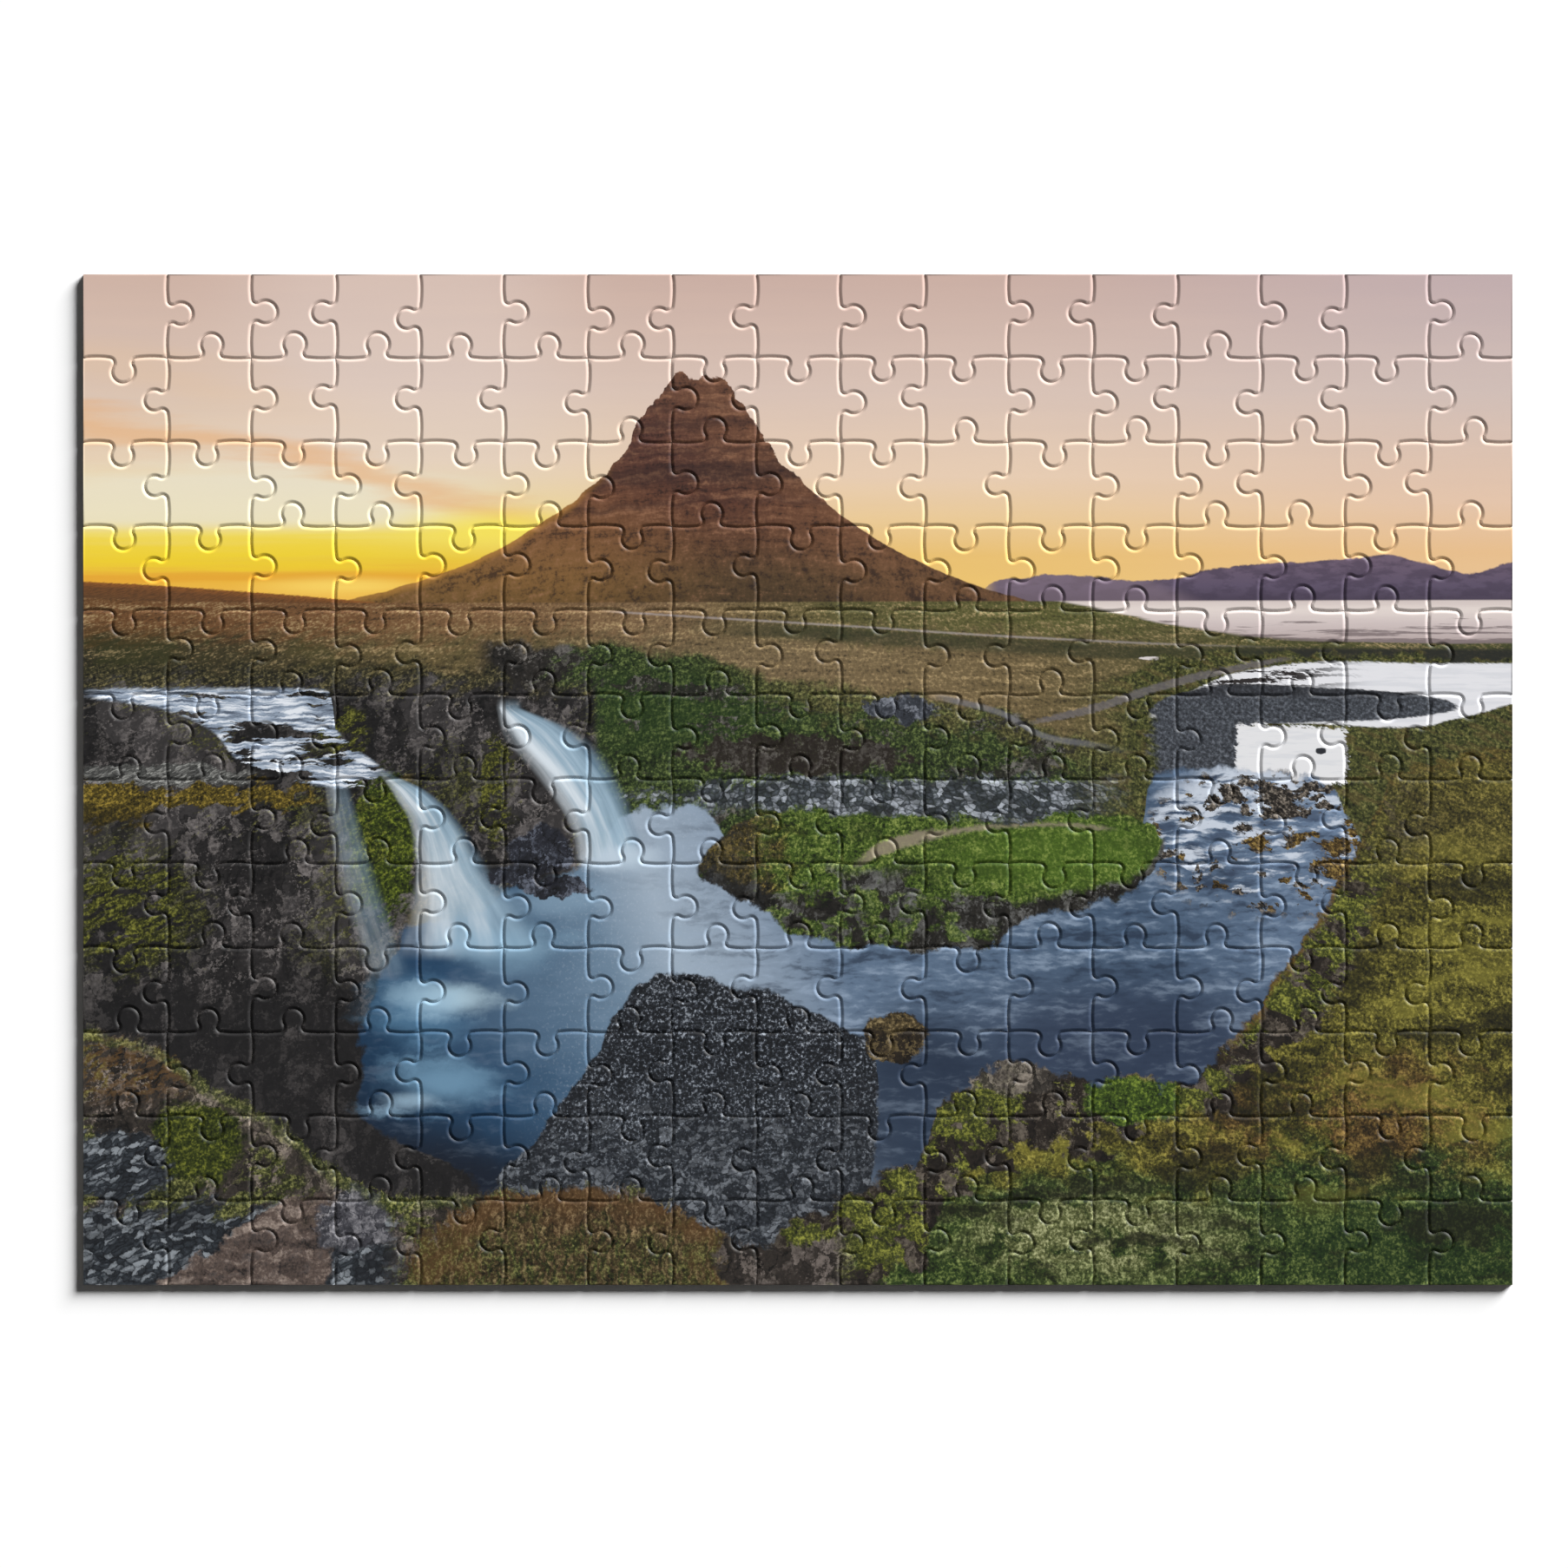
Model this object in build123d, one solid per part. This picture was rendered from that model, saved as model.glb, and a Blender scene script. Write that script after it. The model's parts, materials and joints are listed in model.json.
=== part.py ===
from build123d import *
import os
from math import atan2, cos, floor, pi, radians, sin, sqrt, tan

# A 204 piece picture jigsaw lying assembled, seventeen pieces wide and twelve high.
# X runs along the long side, Y towards the top of the picture, Z up from the underside.

SHEET_LENGTH = 420.0
SHEET_HEIGHT = 297.0
BOARD_THICKNESS = 2.0
COLUMNS = 17
ROWS = 12
BAND_ROWS = 4

# The gap the cutting rule leaves between two pieces, and how far it draws their top edge down.
CUT_GAP = 0.2
ROLLED_EDGE = 0.4

# One knob: a round head on a neck, with a small round shoulder at each side of the neck.
HEAD_RADIUS = 3.2
HEAD_CENTRE = 3.9
SHOULDER_RADIUS = 1.5

# Each cut bows away from its knob, and meets the shoulder at this angle.
BOW_ANGLE = radians(8)

# No two knobs are quite alike: their places and sizes differ by up to these amounts.
PLACE_SPREAD = 1.1
SIZE_SPREAD = 0.05

# Which way the knobs point, right or left, on the sixteen upright cuts of each row of pieces.
UPRIGHT_KNOBS = (
    "RRLLRRLLRLRLLRLR",
    "LRLLLLRLRLRRLLLR",
    "LRRLRRRRLLLRRLRL",
    "LRRRRRLLRRRRRRRR",
    "RRRLRRLRLRLLRLLR",
    "RRLRRLRRRRRRRRLL",
    "LRLRLLLRLRLLRRLL",
    "LLRRRRRLRLLLLRLR",
    "LRRRRRRLLLRRRLLL",
    "RLRLRRLRLLRRRRRR",
    "LRLLRLLLLRLLRLLL",
    "LRRLLRLLRRRLRRRR",
)

# Which way they point, up or down, on the level cut under each of the first eleven rows.
LEVEL_KNOBS = (
    "DUUUUUUDDDDDDUDDU",
    "DDDDDDUUDDUDUDUDU",
    "DDUUDUDUDDDDDUUDU",
    "DDDDDDDDDDUUUDUUD",
    "DDUUDUDUDDDUDUUDD",
    "UUUDUDUDUDUUUDUUU",
    "DDUUUDUUDUDDDUDUD",
    "DUUDUUDUUUDUUUDUU",
    "UUUUDDUDUDDDDUUDD",
    "UDDUDUDUUDUUDUUDD",
    "DUDUDUUDUDUDDUUDU",
)

BANDS = ("sky", "valley", "bank")
CORNERS = {
    (0, 0): "corner_top_left",
    (COLUMNS - 1, 0): "corner_top_right",
    (0, ROWS - 1): "corner_bottom_left",
    (COLUMNS - 1, ROWS - 1): "corner_bottom_right",
}


def crossing(column, row):
    """The place where two cuts cross, or meet the edge, as a complex number."""
    x = (column / COLUMNS - 0.5) * (SHEET_LENGTH + CUT_GAP)
    y = (0.5 - row / ROWS) * (SHEET_HEIGHT + CUT_GAP)
    return complex(x, y)


def unevenness(column, row, turn):
    """A number from -1 to 1 that looks random from cut to cut, and is always the same."""
    value = sin(12.9898 * column + 78.233 * row + 37.719 * turn) * 43758.5453
    return 2 * (value - floor(value)) - 1


def bow(start, end, lean):
    """The middle of a shallow arc from start to end that ends leaning by the given angle."""
    chord = end - start
    turn = lean - atan2(chord.imag, chord.real)
    return (start + end) / 2 - 1j * chord / 2 * tan(turn / 2)


def knob_arcs(length, place, size):
    """The five arcs of a cut along X with its knob upwards, each as start, middle and end."""
    head, shoulder = HEAD_RADIUS * size, SHOULDER_RADIUS
    height = HEAD_CENTRE * size
    apart = sqrt((head + shoulder) ** 2 - (height - shoulder) ** 2)
    climb = atan2(height - shoulder, apart)
    half = []
    for room in (place, length - place):
        centre = complex(room - apart, shoulder)
        foot = centre + shoulder * complex(sin(BOW_ANGLE), -cos(BOW_ANGLE))
        turn = (climb + BOW_ANGLE - pi / 2) / 2
        side = centre + shoulder * complex(cos(turn), sin(turn))
        neck = centre + shoulder * complex(cos(climb), sin(climb))
        half.append(((0, bow(0, foot, BOW_ANGLE), foot), (foot, side, neck)))
    top = complex(place, height + head)
    mirrored = [
        tuple(length - complex(point).conjugate() for point in reversed(arc))
        for arc in reversed(half[1])
    ]
    over = (half[0][1][2], top, mirrored[0][0])
    return [*half[0], over, *mirrored]


def cut(column, row, upright):
    """The arcs of one cut, from its lower or left crossing to its upper or right one."""
    if upright:
        start, end = crossing(column, row + 1), crossing(column, row)
        knob_left = UPRIGHT_KNOBS[row][column - 1] == "L"
    else:
        start, end = crossing(column, row), crossing(column + 1, row)
        knob_left = LEVEL_KNOBS[row - 1][column] == "U"
    length = abs(end - start)
    along = (end - start) / length
    place = length / 2 + PLACE_SPREAD * unevenness(column, row, upright)
    size = 1 + SIZE_SPREAD * unevenness(column, row, upright + 2)
    arcs = []
    for arc in knob_arcs(length, place, size):
        points = [complex(p) if knob_left else complex(p).conjugate() for p in arc]
        arcs.append([start + along * p for p in points])
    return arcs


def side(column, row, upright, reverse):
    """One side of a piece as edges in order, a straight line where it is the sheet's edge."""
    if upright and column in (0, COLUMNS):
        corners = [crossing(column, row + 1), crossing(column, row)]
        arcs = [corners]
    elif not upright and row in (0, ROWS):
        corners = [crossing(column, row), crossing(column + 1, row)]
        arcs = [corners]
    else:
        arcs = cut(column, row, upright)
    if reverse:
        arcs = [list(reversed(arc)) for arc in reversed(arcs)]
    edges = []
    for arc in arcs:
        points = [(p.real, p.imag) for p in arc]
        edges.append(Line(*points) if len(points) == 2 else ThreePointArc(*points))
    return edges


def piece(column, row):
    """One piece of board, cut half a gap inside the middle of its cuts, its top edge rolled."""
    outline = side(column, row + 1, False, False)
    outline += side(column + 1, row, True, False)
    outline += side(column, row, False, True)
    outline += side(column, row, True, True)
    face = Face(Wire(outline))
    face = offset(face, -CUT_GAP / 2)
    board = extrude(face, BOARD_THICKNESS)
    rim = board.faces().sort_by(Axis.Z)[-1].edges()
    board = chamfer(rim, ROLLED_EDGE)
    return board.solid()


def node_name(column, row):
    """The corner's own name, or the strip of up to four pieces that this piece belongs to."""
    strip = f"{BANDS[row // BAND_ROWS]}_strip_{column + 1:02d}"
    return CORNERS.get((column, row), strip)


nodes = {}
for column in range(COLUMNS):
    for row in range(ROWS):
        nodes.setdefault(node_name(column, row), []).append(piece(column, row))

os.makedirs("parts", exist_ok=True)
for name, pieces in nodes.items():
    export_step(Compound(pieces), f"parts/{name}.step")
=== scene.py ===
import json
import math
from collections import Counter

import bpy
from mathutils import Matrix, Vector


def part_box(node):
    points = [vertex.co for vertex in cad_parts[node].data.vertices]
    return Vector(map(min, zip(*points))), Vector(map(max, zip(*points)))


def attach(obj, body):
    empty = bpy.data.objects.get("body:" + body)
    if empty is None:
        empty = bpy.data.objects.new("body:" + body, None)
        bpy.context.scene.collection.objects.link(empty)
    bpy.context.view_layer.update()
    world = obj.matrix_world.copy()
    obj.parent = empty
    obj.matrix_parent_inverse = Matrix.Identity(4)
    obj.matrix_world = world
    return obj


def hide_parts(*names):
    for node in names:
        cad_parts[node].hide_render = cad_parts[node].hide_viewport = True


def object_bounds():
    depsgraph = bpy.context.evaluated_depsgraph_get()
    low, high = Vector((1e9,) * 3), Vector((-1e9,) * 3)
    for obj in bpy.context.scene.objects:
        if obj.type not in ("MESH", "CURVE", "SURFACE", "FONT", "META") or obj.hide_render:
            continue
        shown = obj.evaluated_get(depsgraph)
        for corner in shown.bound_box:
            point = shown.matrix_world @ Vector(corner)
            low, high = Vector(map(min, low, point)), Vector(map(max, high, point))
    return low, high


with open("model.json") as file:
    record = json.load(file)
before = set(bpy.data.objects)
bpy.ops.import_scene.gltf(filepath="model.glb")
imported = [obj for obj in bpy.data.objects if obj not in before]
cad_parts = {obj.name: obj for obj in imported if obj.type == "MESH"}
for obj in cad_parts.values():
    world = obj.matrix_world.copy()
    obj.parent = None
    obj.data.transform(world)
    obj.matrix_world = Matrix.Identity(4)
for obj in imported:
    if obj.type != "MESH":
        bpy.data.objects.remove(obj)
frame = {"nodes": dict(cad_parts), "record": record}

cad_low, cad_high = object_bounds()

# ---------------------------------------------------------------- sizes, in metres
COLUMNS, ROWS = 17, 12
WIDTH = cad_high.x - cad_low.x
HEIGHT = cad_high.y - cad_low.y
TOP = cad_high.z
# Two places this near each other are the same place, and points nearer than MERGE become one.
NEAR = 0.00001
MERGE = 0.000001
# The rim of the CAD piece is drawn down over this width, on the sheet's outer sides as well.
CAD_ROLL = 0.00040
# The soft roll inside it, the level ring that ends the roll, and how far each step lowers the rim.
ROLL_WIDTH = 0.00040
FLAT_RING = 0.00015
ROLL_DROP = 0.00006
# The rim goes down one step for each of these that it leans past, towards the lower left. All of
# it passes the first.
LEANS = (-2.0, 0.0, 0.2)
# The die leaves a slight lip where the roll meets the cut side.
LIP = 0.00008
# How far inside the sheet's outer sides the print is level again.
FADE = 0.00100
# Depths below the face: where pale paper begins (bare paper, and a painted highlight line along
# each cut), and between which the printed sheet ends.
PAPER_HIGHLIGHT_DEPTH = 0.00038
SHEET_DEPTH = (0.0007, 0.0006)
# Heights between which the lining of the underside ends.
LINING_HEIGHT = (0.00018, 0.00012)

# ---------------------------------------------------------------- colour and light
scene = bpy.context.scene
scene.view_settings.view_transform = "Standard"
scene.view_settings.look = "None"
# How much brighter than its own colour the light makes a level face, which the inks allow for.
LIT = 1.03


def ink(red, green, blue):
    """A print colour from its 0 to 255 values, as the shader wants it."""
    linear = []
    for value in (red, green, blue):
        value /= 255
        low = value / 12.92
        high = ((value + 0.055) / 1.055) ** 2.4
        linear.append((low if value <= 0.04045 else high) / LIT)
    return (*linear, 1.0)


# ---------------------------------------------------------------- wiring shader nodes
class Wire:
    """One output in a shader tree, which takes part in sums as a number does."""

    def __init__(self, hand, socket):
        self.hand, self.socket = hand, socket

    def __add__(self, other):
        return self.hand.sum("ADD", self, other)

    def __sub__(self, other):
        return self.hand.sum("SUBTRACT", self, other)

    def __rsub__(self, other):
        return self.hand.sum("SUBTRACT", other, self)

    def __mul__(self, other):
        return self.hand.sum("MULTIPLY", self, other)

    def __truediv__(self, other):
        return self.hand.sum("DIVIDE", self, other)

    def __abs__(self):
        return self.hand.sum("ABSOLUTE", self)

    __radd__ = __add__
    __rmul__ = __mul__


class Hand:
    """Adds nodes to one shader tree and links them as it goes."""

    def __init__(self, tree):
        self.tree = tree

    def node(self, kind, **settings):
        """A new node, laid out in rows in the order that nodes are added."""
        made = self.tree.nodes.new("ShaderNode" + kind)
        for name, value in settings.items():
            setattr(made, name, value)
        count = len(self.tree.nodes)
        made.location = (200 * (count % 14), -260 * (count // 14))
        return made

    def put(self, socket, value):
        """Links a wire to a socket, or sets a plain value on it."""
        if isinstance(value, Wire):
            self.tree.links.new(value.socket, socket)
        else:
            socket.default_value = value

    def sum(self, operation, *values, clamp=False):
        """A Math node on wires and plain numbers."""
        made = self.node("Math", operation=operation, use_clamp=clamp)
        for socket, value in zip(made.inputs, values):
            self.put(socket, value)
        return Wire(self, made.outputs[0])

    def step(self, value, start, end):
        """0 before start and 1 after end, smooth between them, either way round."""
        made = self.node("MapRange", interpolation_type="SMOOTHSTEP")
        self.put(made.inputs["Value"], value)
        self.put(made.inputs["From Min"], start)
        self.put(made.inputs["From Max"], end)
        return Wire(self, made.outputs["Result"])

    def mix(self, share, below, above, blend="MIX"):
        """The colour above laid over the one below, by a share from 0 to 1."""
        made = self.node("Mix", data_type="RGBA", blend_type=blend)
        self.put(made.inputs[0], share)
        self.put(made.inputs[6], below)
        self.put(made.inputs[7], above)
        return Wire(self, made.outputs[2])

    def ramp(self, value, stops):
        """A colour for each height: stops are (value, colour) in rising order."""
        first, last = stops[0][0], stops[-1][0]
        made = self.node("ValToRGB")
        line = made.color_ramp
        for number, (at, colour) in enumerate(stops):
            place = (at - first) / (last - first)
            point = line.elements[number] if number < 2 else line.elements.new(place)
            point.position, point.color = place, ink(*colour)
        self.put(made.inputs[0], (value - first) / (last - first))
        return Wire(self, made.outputs[0])

    def curve(self, value, points):
        """A line through points, as a height for each value. It runs on level past its ends."""
        first, last = points[0][0], points[-1][0]
        low = min(y for x, y in points)
        high = max(y for x, y in points)
        made = self.node("FloatCurve")
        line = made.mapping.curves[0]
        while len(line.points) < len(points):
            line.points.new(0.5, 0.5)
        for point, (x, y) in zip(line.points, points):
            point.location = ((x - first) / (last - first), (y - low) / (high - low))
            point.handle_type = "AUTO_CLAMPED"
        made.mapping.update()
        share = self.sum("MULTIPLY", value - first, 1 / (last - first), clamp=True)
        self.put(made.inputs["Value"], share)
        return Wire(self, made.outputs[0]) * (high - low) + low

    def place(self, place, turn=0.0, scale=(1, 1), move=(0, 0)):
        """The place moved, turned and stretched, for streaks that run one way."""
        made = self.node("Mapping")
        self.put(made.inputs["Vector"], place)
        made.inputs["Location"].default_value = (*move, 0)
        made.inputs["Rotation"].default_value = (0, 0, math.radians(turn))
        made.inputs["Scale"].default_value = (*scale, 1)
        return Wire(self, made.outputs[0])

    def noise(self, place, scale, detail=4.0, rough=0.5, out="Fac"):
        """Cloudy noise about 0.5, with more octaves for finer detail."""
        made = self.node("TexNoise", noise_dimensions="2D")
        self.put(made.inputs["Vector"], place)
        made.inputs["Scale"].default_value = scale
        made.inputs["Detail"].default_value = detail
        made.inputs["Roughness"].default_value = rough
        return Wire(self, made.outputs[out])

    def cells(self, place, scale, out="Distance", **settings):
        """Voronoi cells: the distance to a cell's middle or edge, or one colour for each cell."""
        made = self.node("TexVoronoi", voronoi_dimensions="2D", **settings)
        self.put(made.inputs["Vector"], place)
        made.inputs["Scale"].default_value = scale
        return Wire(self, made.outputs[out])

    def axes(self, place):
        """The X and the Y of a place, or the first two parts of a colour."""
        made = self.node("SeparateXYZ")
        self.put(made.inputs[0], place)
        return Wire(self, made.outputs[0]), Wire(self, made.outputs[1])

    def ring(self, x, y, centre, size):
        """0 at a centre, 1 on an ellipse of that half width and half height, more outside."""
        across = (x - centre[0]) / size[0]
        up = (y - centre[1]) / size[1]
        return self.sum("SQRT", across * across + up * up)

    def between(self, value, low, high, soft):
        """1 between two edges, fading over soft at each."""
        return self.step(value - low, -soft, soft) * self.step(value - high, soft, -soft)


# ---------------------------------------------------------------- the shared textures
def new_group(name, takes, gives):
    """An empty node group with its sockets, and its two end nodes."""
    tree = bpy.data.node_groups.new(name, "ShaderNodeTree")
    for side, sockets in (("INPUT", takes), ("OUTPUT", gives)):
        for socket, kind in sockets.items():
            tree.interface.new_socket(
                name=socket, in_out=side, socket_type="NodeSocket" + kind
            )
    return tree, tree.nodes.new("NodeGroupInput"), tree.nodes.new("NodeGroupOutput")


TEXTURES = {
    "Place": "Vector",
    "Loose": "Vector",
    "Ground": "Vector",
    "Broad": "Float",
    "Medium": "Float",
    "Fine": "Float",
    "Grain": "Float",
    "Blade": "Float",
    "Facet": "Float",
    "Relief": "Float",
    "Rock": "Float",
}


def brush_textures():
    """Places in the picture, counted in pieces from its bottom left, and the shared textures.

    Ground is the place seen in perspective, so that tufts and stones shrink with distance.
    """
    tree, _, end = new_group("brush_textures", {}, TEXTURES)
    hand = Hand(tree)
    where = hand.node("TexCoord")
    place = hand.place(
        Wire(hand, where.outputs["Object"]),
        scale=(COLUMNS / WIDTH, ROWS / HEIGHT),
        move=(COLUMNS / 2, ROWS / 2),
    )

    def shifted(base, noise, amount):
        """The place moved about by a coloured noise, so that outlines turn uneven."""
        centred = hand.node("VectorMath", operation="SUBTRACT")
        hand.put(centred.inputs[0], noise)
        centred.inputs[1].default_value = (0.5, 0.5, 0.5)
        scaled = hand.node("VectorMath", operation="MULTIPLY_ADD")
        tree.links.new(centred.outputs[0], scaled.inputs[0])
        scaled.inputs[1].default_value = (amount, amount, 0)
        hand.put(scaled.inputs[2], base)
        return Wire(hand, scaled.outputs[0])

    def embossed(base, scale, detail, rough, move):
        """Light from the upper left on a bumpy surface, 0.5 where it is level."""
        high = hand.noise(base, scale, detail, rough)
        low = hand.noise(hand.place(base, move=move), scale, detail, rough)
        return (high - low) * 3.6 + 0.5

    x, y = hand.axes(place)
    away = 11 - y
    ground = hand.node("CombineXYZ")
    hand.put(ground.inputs[0], (x - 8.5) * 8.5 / away)
    hand.put(ground.inputs[1], hand.sum("LOGARITHM", away, math.e) * -11)
    ground = Wire(hand, ground.outputs[0])
    drift = hand.noise(place, 2.2, 6, 0.66, "Color")
    loose = shifted(place, drift, 0.42)
    ground = shifted(ground, drift, 0.3)
    broad = hand.noise(loose, 0.8, 4)
    medium = hand.noise(ground, 2.4, 5, 0.58)
    fine = hand.noise(ground, 8.0, 5, 0.66)
    grain = hand.noise(place, 26, 3, 0.65)
    blade = hand.noise(hand.place(loose, turn=16, scale=(1.0, 0.26)), 24, 3, 0.6)
    relief = embossed(ground, 5.0, 6, 0.68, (0.035, -0.04))
    upright = hand.place(loose, turn=-7, scale=(1.7, 0.62))
    rock = embossed(upright, 3.4, 7, 0.64, (0.06, -0.05))
    faces = hand.place(loose, turn=18, scale=(1.5, 1.0))
    facet = hand.axes(hand.cells(faces, 3.4, "Color"))[0] * 0.6
    facet = facet + hand.axes(hand.cells(faces, 8.0, "Color"))[1] * 0.4
    facet = facet - hand.step(hand.cells(faces, 3.4, feature="DISTANCE_TO_EDGE"), 0.05, 0.0) * 0.5
    outputs = (place, loose, ground, broad, medium, fine, grain, blade, facet, relief, rock)
    for wire, socket in zip(outputs, end.inputs):
        hand.put(socket, wire)
    return tree


class Spot:
    """What a layer of the picture knows at one spot: its place and the shared textures."""

    def __init__(self, hand, start):
        for name in TEXTURES:
            setattr(self, name.lower(), Wire(hand, start.outputs[name]))
        self.x, self.y = hand.axes(self.place)
        self.u, self.v = hand.axes(self.loose)


def layer(name, paint):
    """A layer of the picture as a node group, which paints over the colour below it."""
    takes = {"Below": "Color", **TEXTURES}
    tree, start, end = new_group(name, takes, {"Colour": "Color"})
    hand = Hand(tree)
    below = Wire(hand, start.outputs["Below"])
    hand.put(end.inputs[0], paint(hand, Spot(hand, start), below))
    return tree


def turf(h, s, dark, middle, pale):
    """Short grass or moss in three tones, speckled with lit blades and deep shadows."""
    tone = s.grain * 0.9 + s.blade * 0.5 + s.fine * 0.55 + s.relief * 0.14 + s.medium * 0.35
    return h.ramp(tone, [(0.96, dark), (1.24, middle), (1.56, pale)])


def stone(h, s, dark, middle, pale):
    """Broken rock in three tones, with clusters of pale lichen flecks."""
    tone = s.facet * 0.42 + s.rock * 0.14 + s.fine * 0.42 + s.grain * 0.34 + s.broad * 0.36
    colour = h.ramp(tone, [(0.5, dark), (0.84, middle), (1.2, pale)])
    fleck = h.step(s.grain + s.fine * 0.5 + (s.medium - 0.5) * 1.3 + s.facet * 0.2, 1.0, 1.12)
    return h.mix(fleck * 0.5, colour, ink(*pale))


def pebbles(h, place, scale, dark, middle, pale):
    """Rounded stones of many sizes and tones, with dark gaps between them."""
    tone = h.axes(h.cells(place, scale * 1.6, "Color"))[0]
    gap = h.cells(place, scale * 1.6, feature="DISTANCE_TO_EDGE")
    small = h.cells(place, scale * 4)
    shade = tone * tone * 0.9 + gap * 0.7 - small * 0.35 + h.noise(place, scale * 0.4, 3) * 0.7
    colour = h.ramp(shade, [(0.05, dark), (0.6, middle), (1.2, pale)])
    return h.mix(h.step(gap + small * 0.1, 0.14, 0.04) * 0.8, colour, ink(*dark))


def blot(h, s, centre, size, uneven=1.0):
    """1 inside an uneven patch round a centre, 0 outside."""
    edge = h.ring(s.u, s.v, centre, size)
    edge = edge + (s.medium - 0.5) * 1.1 * uneven + (s.fine - 0.5) * 0.7 * uneven
    return h.step(edge, 1.1, 0.9)


# ---------------------------------------------------------------- the picture's layers
def paint_sky(h, s, below):
    """The evening sky. It is the lowest layer, and covers all that is below it."""
    left = h.ramp(s.y, [
        (8.0, (240, 190, 90)), (8.4, (232, 176, 54)), (8.62, (234, 200, 58)),
        (8.9, (238, 216, 100)), (9.2, (236, 216, 150)), (9.8, (228, 206, 180)),
        (10.7, (214, 192, 179)), (12.0, (203, 176, 164)),
    ])
    middle = h.ramp(s.y, [
        (8.0, (238, 196, 108)), (8.66, (232, 190, 112)), (9.1, (233, 200, 150)),
        (9.6, (230, 203, 178)), (10.6, (214, 192, 181)), (12.0, (198, 171, 162)),
    ])
    right = h.ramp(s.y, [
        (8.0, (232, 196, 150)), (8.7, (230, 188, 140)), (9.3, (226, 194, 170)),
        (10.6, (206, 188, 182)), (12.0, (188, 169, 172)),
    ])
    colour = h.mix(h.step(s.x, 4, 8), left, middle)
    colour = h.mix(h.step(s.x, 10, 17), colour, right)
    cool = h.between(s.x, 2, 5.6, 1.0) * h.step(s.y, 9.0, 9.8)
    colour = h.mix(cool * 0.36, colour, ink(224, 208, 202))
    streaks = h.noise(h.place(s.place, turn=12, scale=(0.2, 1.7)), 1.5, 6, 0.58)
    lines = h.noise(h.place(s.place, turn=3, scale=(0.16, 4.2)), 1.5, 4, 0.55)
    pale = h.step(s.y + (streaks - 0.5) * 0.8, 9.9, 9.4) * h.step(s.y, 8.9, 9.1)
    colour = h.mix(pale * h.step(s.x, 5.4, 3.4) * 0.75, colour, ink(232, 226, 205))
    off = s.y - h.curve(s.x, [(0, 10.25), (2.5, 9.82), (5.4, 9.05), (7, 8.8)])
    off = off + (streaks - 0.5) * 0.7
    band = h.between(off, -0.12, 0.16, 0.15) * h.step(s.x, 6.0, 5.0)
    colour = h.mix(band * 0.62, colour, ink(228, 172, 118))
    upper = h.between(off, 0.45, 0.9, 0.3) * h.step(s.x, 4.5, 1.0)
    colour = h.mix(upper * 0.3, colour, ink(226, 190, 150))
    low = h.between(s.y + (lines - 0.5) * 0.5, 8.28, 8.5, 0.09) * h.step(s.x, 5.2, 3.4)
    colour = h.mix(low * 0.5, colour, ink(222, 152, 44))
    gold = h.between(s.y + (lines - 0.5) * 0.6, 8.6, 8.86, 0.1) * h.step(s.x, 4.8, 2.6)
    colour = h.mix(gold * 0.55, colour, ink(238, 208, 34))
    glow = h.step(h.ring(s.x, s.y, (4.9, 8.98), (1.7, 0.34)), 1.0, 0.0)
    colour = h.mix(glow * 0.85, colour, ink(246, 226, 84))
    horizon = h.step(h.ring(s.x, s.y, (3.1, 8.3), (1.5, 0.16)), 1.0, 0.1)
    colour = h.mix(horizon * 0.6, colour, ink(255, 222, 110))
    cloud = h.mix(0.5, streaks, lines)
    return h.mix(h.axes(cloud)[0] * 0.3, colour, ink(246, 226, 206), "SOFT_LIGHT")


def paint_far_hills(h, s, below):
    """The violet hills across the lake."""
    rise = h.curve(s.x, [
        (10.6, 8.1), (11.0, 8.40), (11.5, 8.44), (12.0, 8.42), (12.5, 8.38), (12.9, 8.39),
        (13.5, 8.52), (14.2, 8.57), (14.9, 8.62), (15.4, 8.67), (16.0, 8.58),
        (16.4, 8.48), (17.0, 8.60),
    ])
    rise = rise + (h.noise(s.place, 3.0, 5, 0.6) - 0.5) * 0.12
    colour = h.ramp(s.y, [(8.12, (72, 62, 80)), (8.3, (92, 80, 102)), (8.7, (112, 94, 112))])
    folds = h.noise(h.place(s.place, turn=-24, scale=(1.2, 3.4)), 2.2, 6, 0.62)
    colour = h.mix(h.step(folds, 0.42, 0.6) * 0.5, colour, ink(64, 54, 72))
    near = h.step(s.x + (s.y - 8.3) * 2, 12.6, 13.1)
    colour = h.mix((1 - near) * 0.35, colour, ink(150, 130, 140))
    shown = h.step(rise - s.y, 0.0, 0.025) * h.step(s.x, 10.5, 10.9)
    return h.mix(shown, below, colour)


def paint_ridge(h, s, below):
    """The low brown ridge on the left of the horizon."""
    rise = h.curve(
        s.x, [(0, 8.36), (0.8, 8.32), (1.8, 8.25), (2.6, 8.19), (3.4, 8.12), (4.4, 8.05)],
    )
    rise = rise + (s.fine - 0.5) * 0.05
    depth = rise - s.y
    brown = h.ramp(depth, [(0.0, (150, 92, 40)), (0.08, (112, 72, 40)), (0.3, (92, 66, 42))])
    colour = h.mix(h.step(s.fine, 0.58, 0.4) * 0.5, brown, ink(58, 42, 28))
    shown = h.step(depth, 0.0, 0.02) * h.step(s.y, 7.95, 8.1) * h.step(s.x, 4.4, 4.0)
    return h.mix(shown, below, colour)


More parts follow.
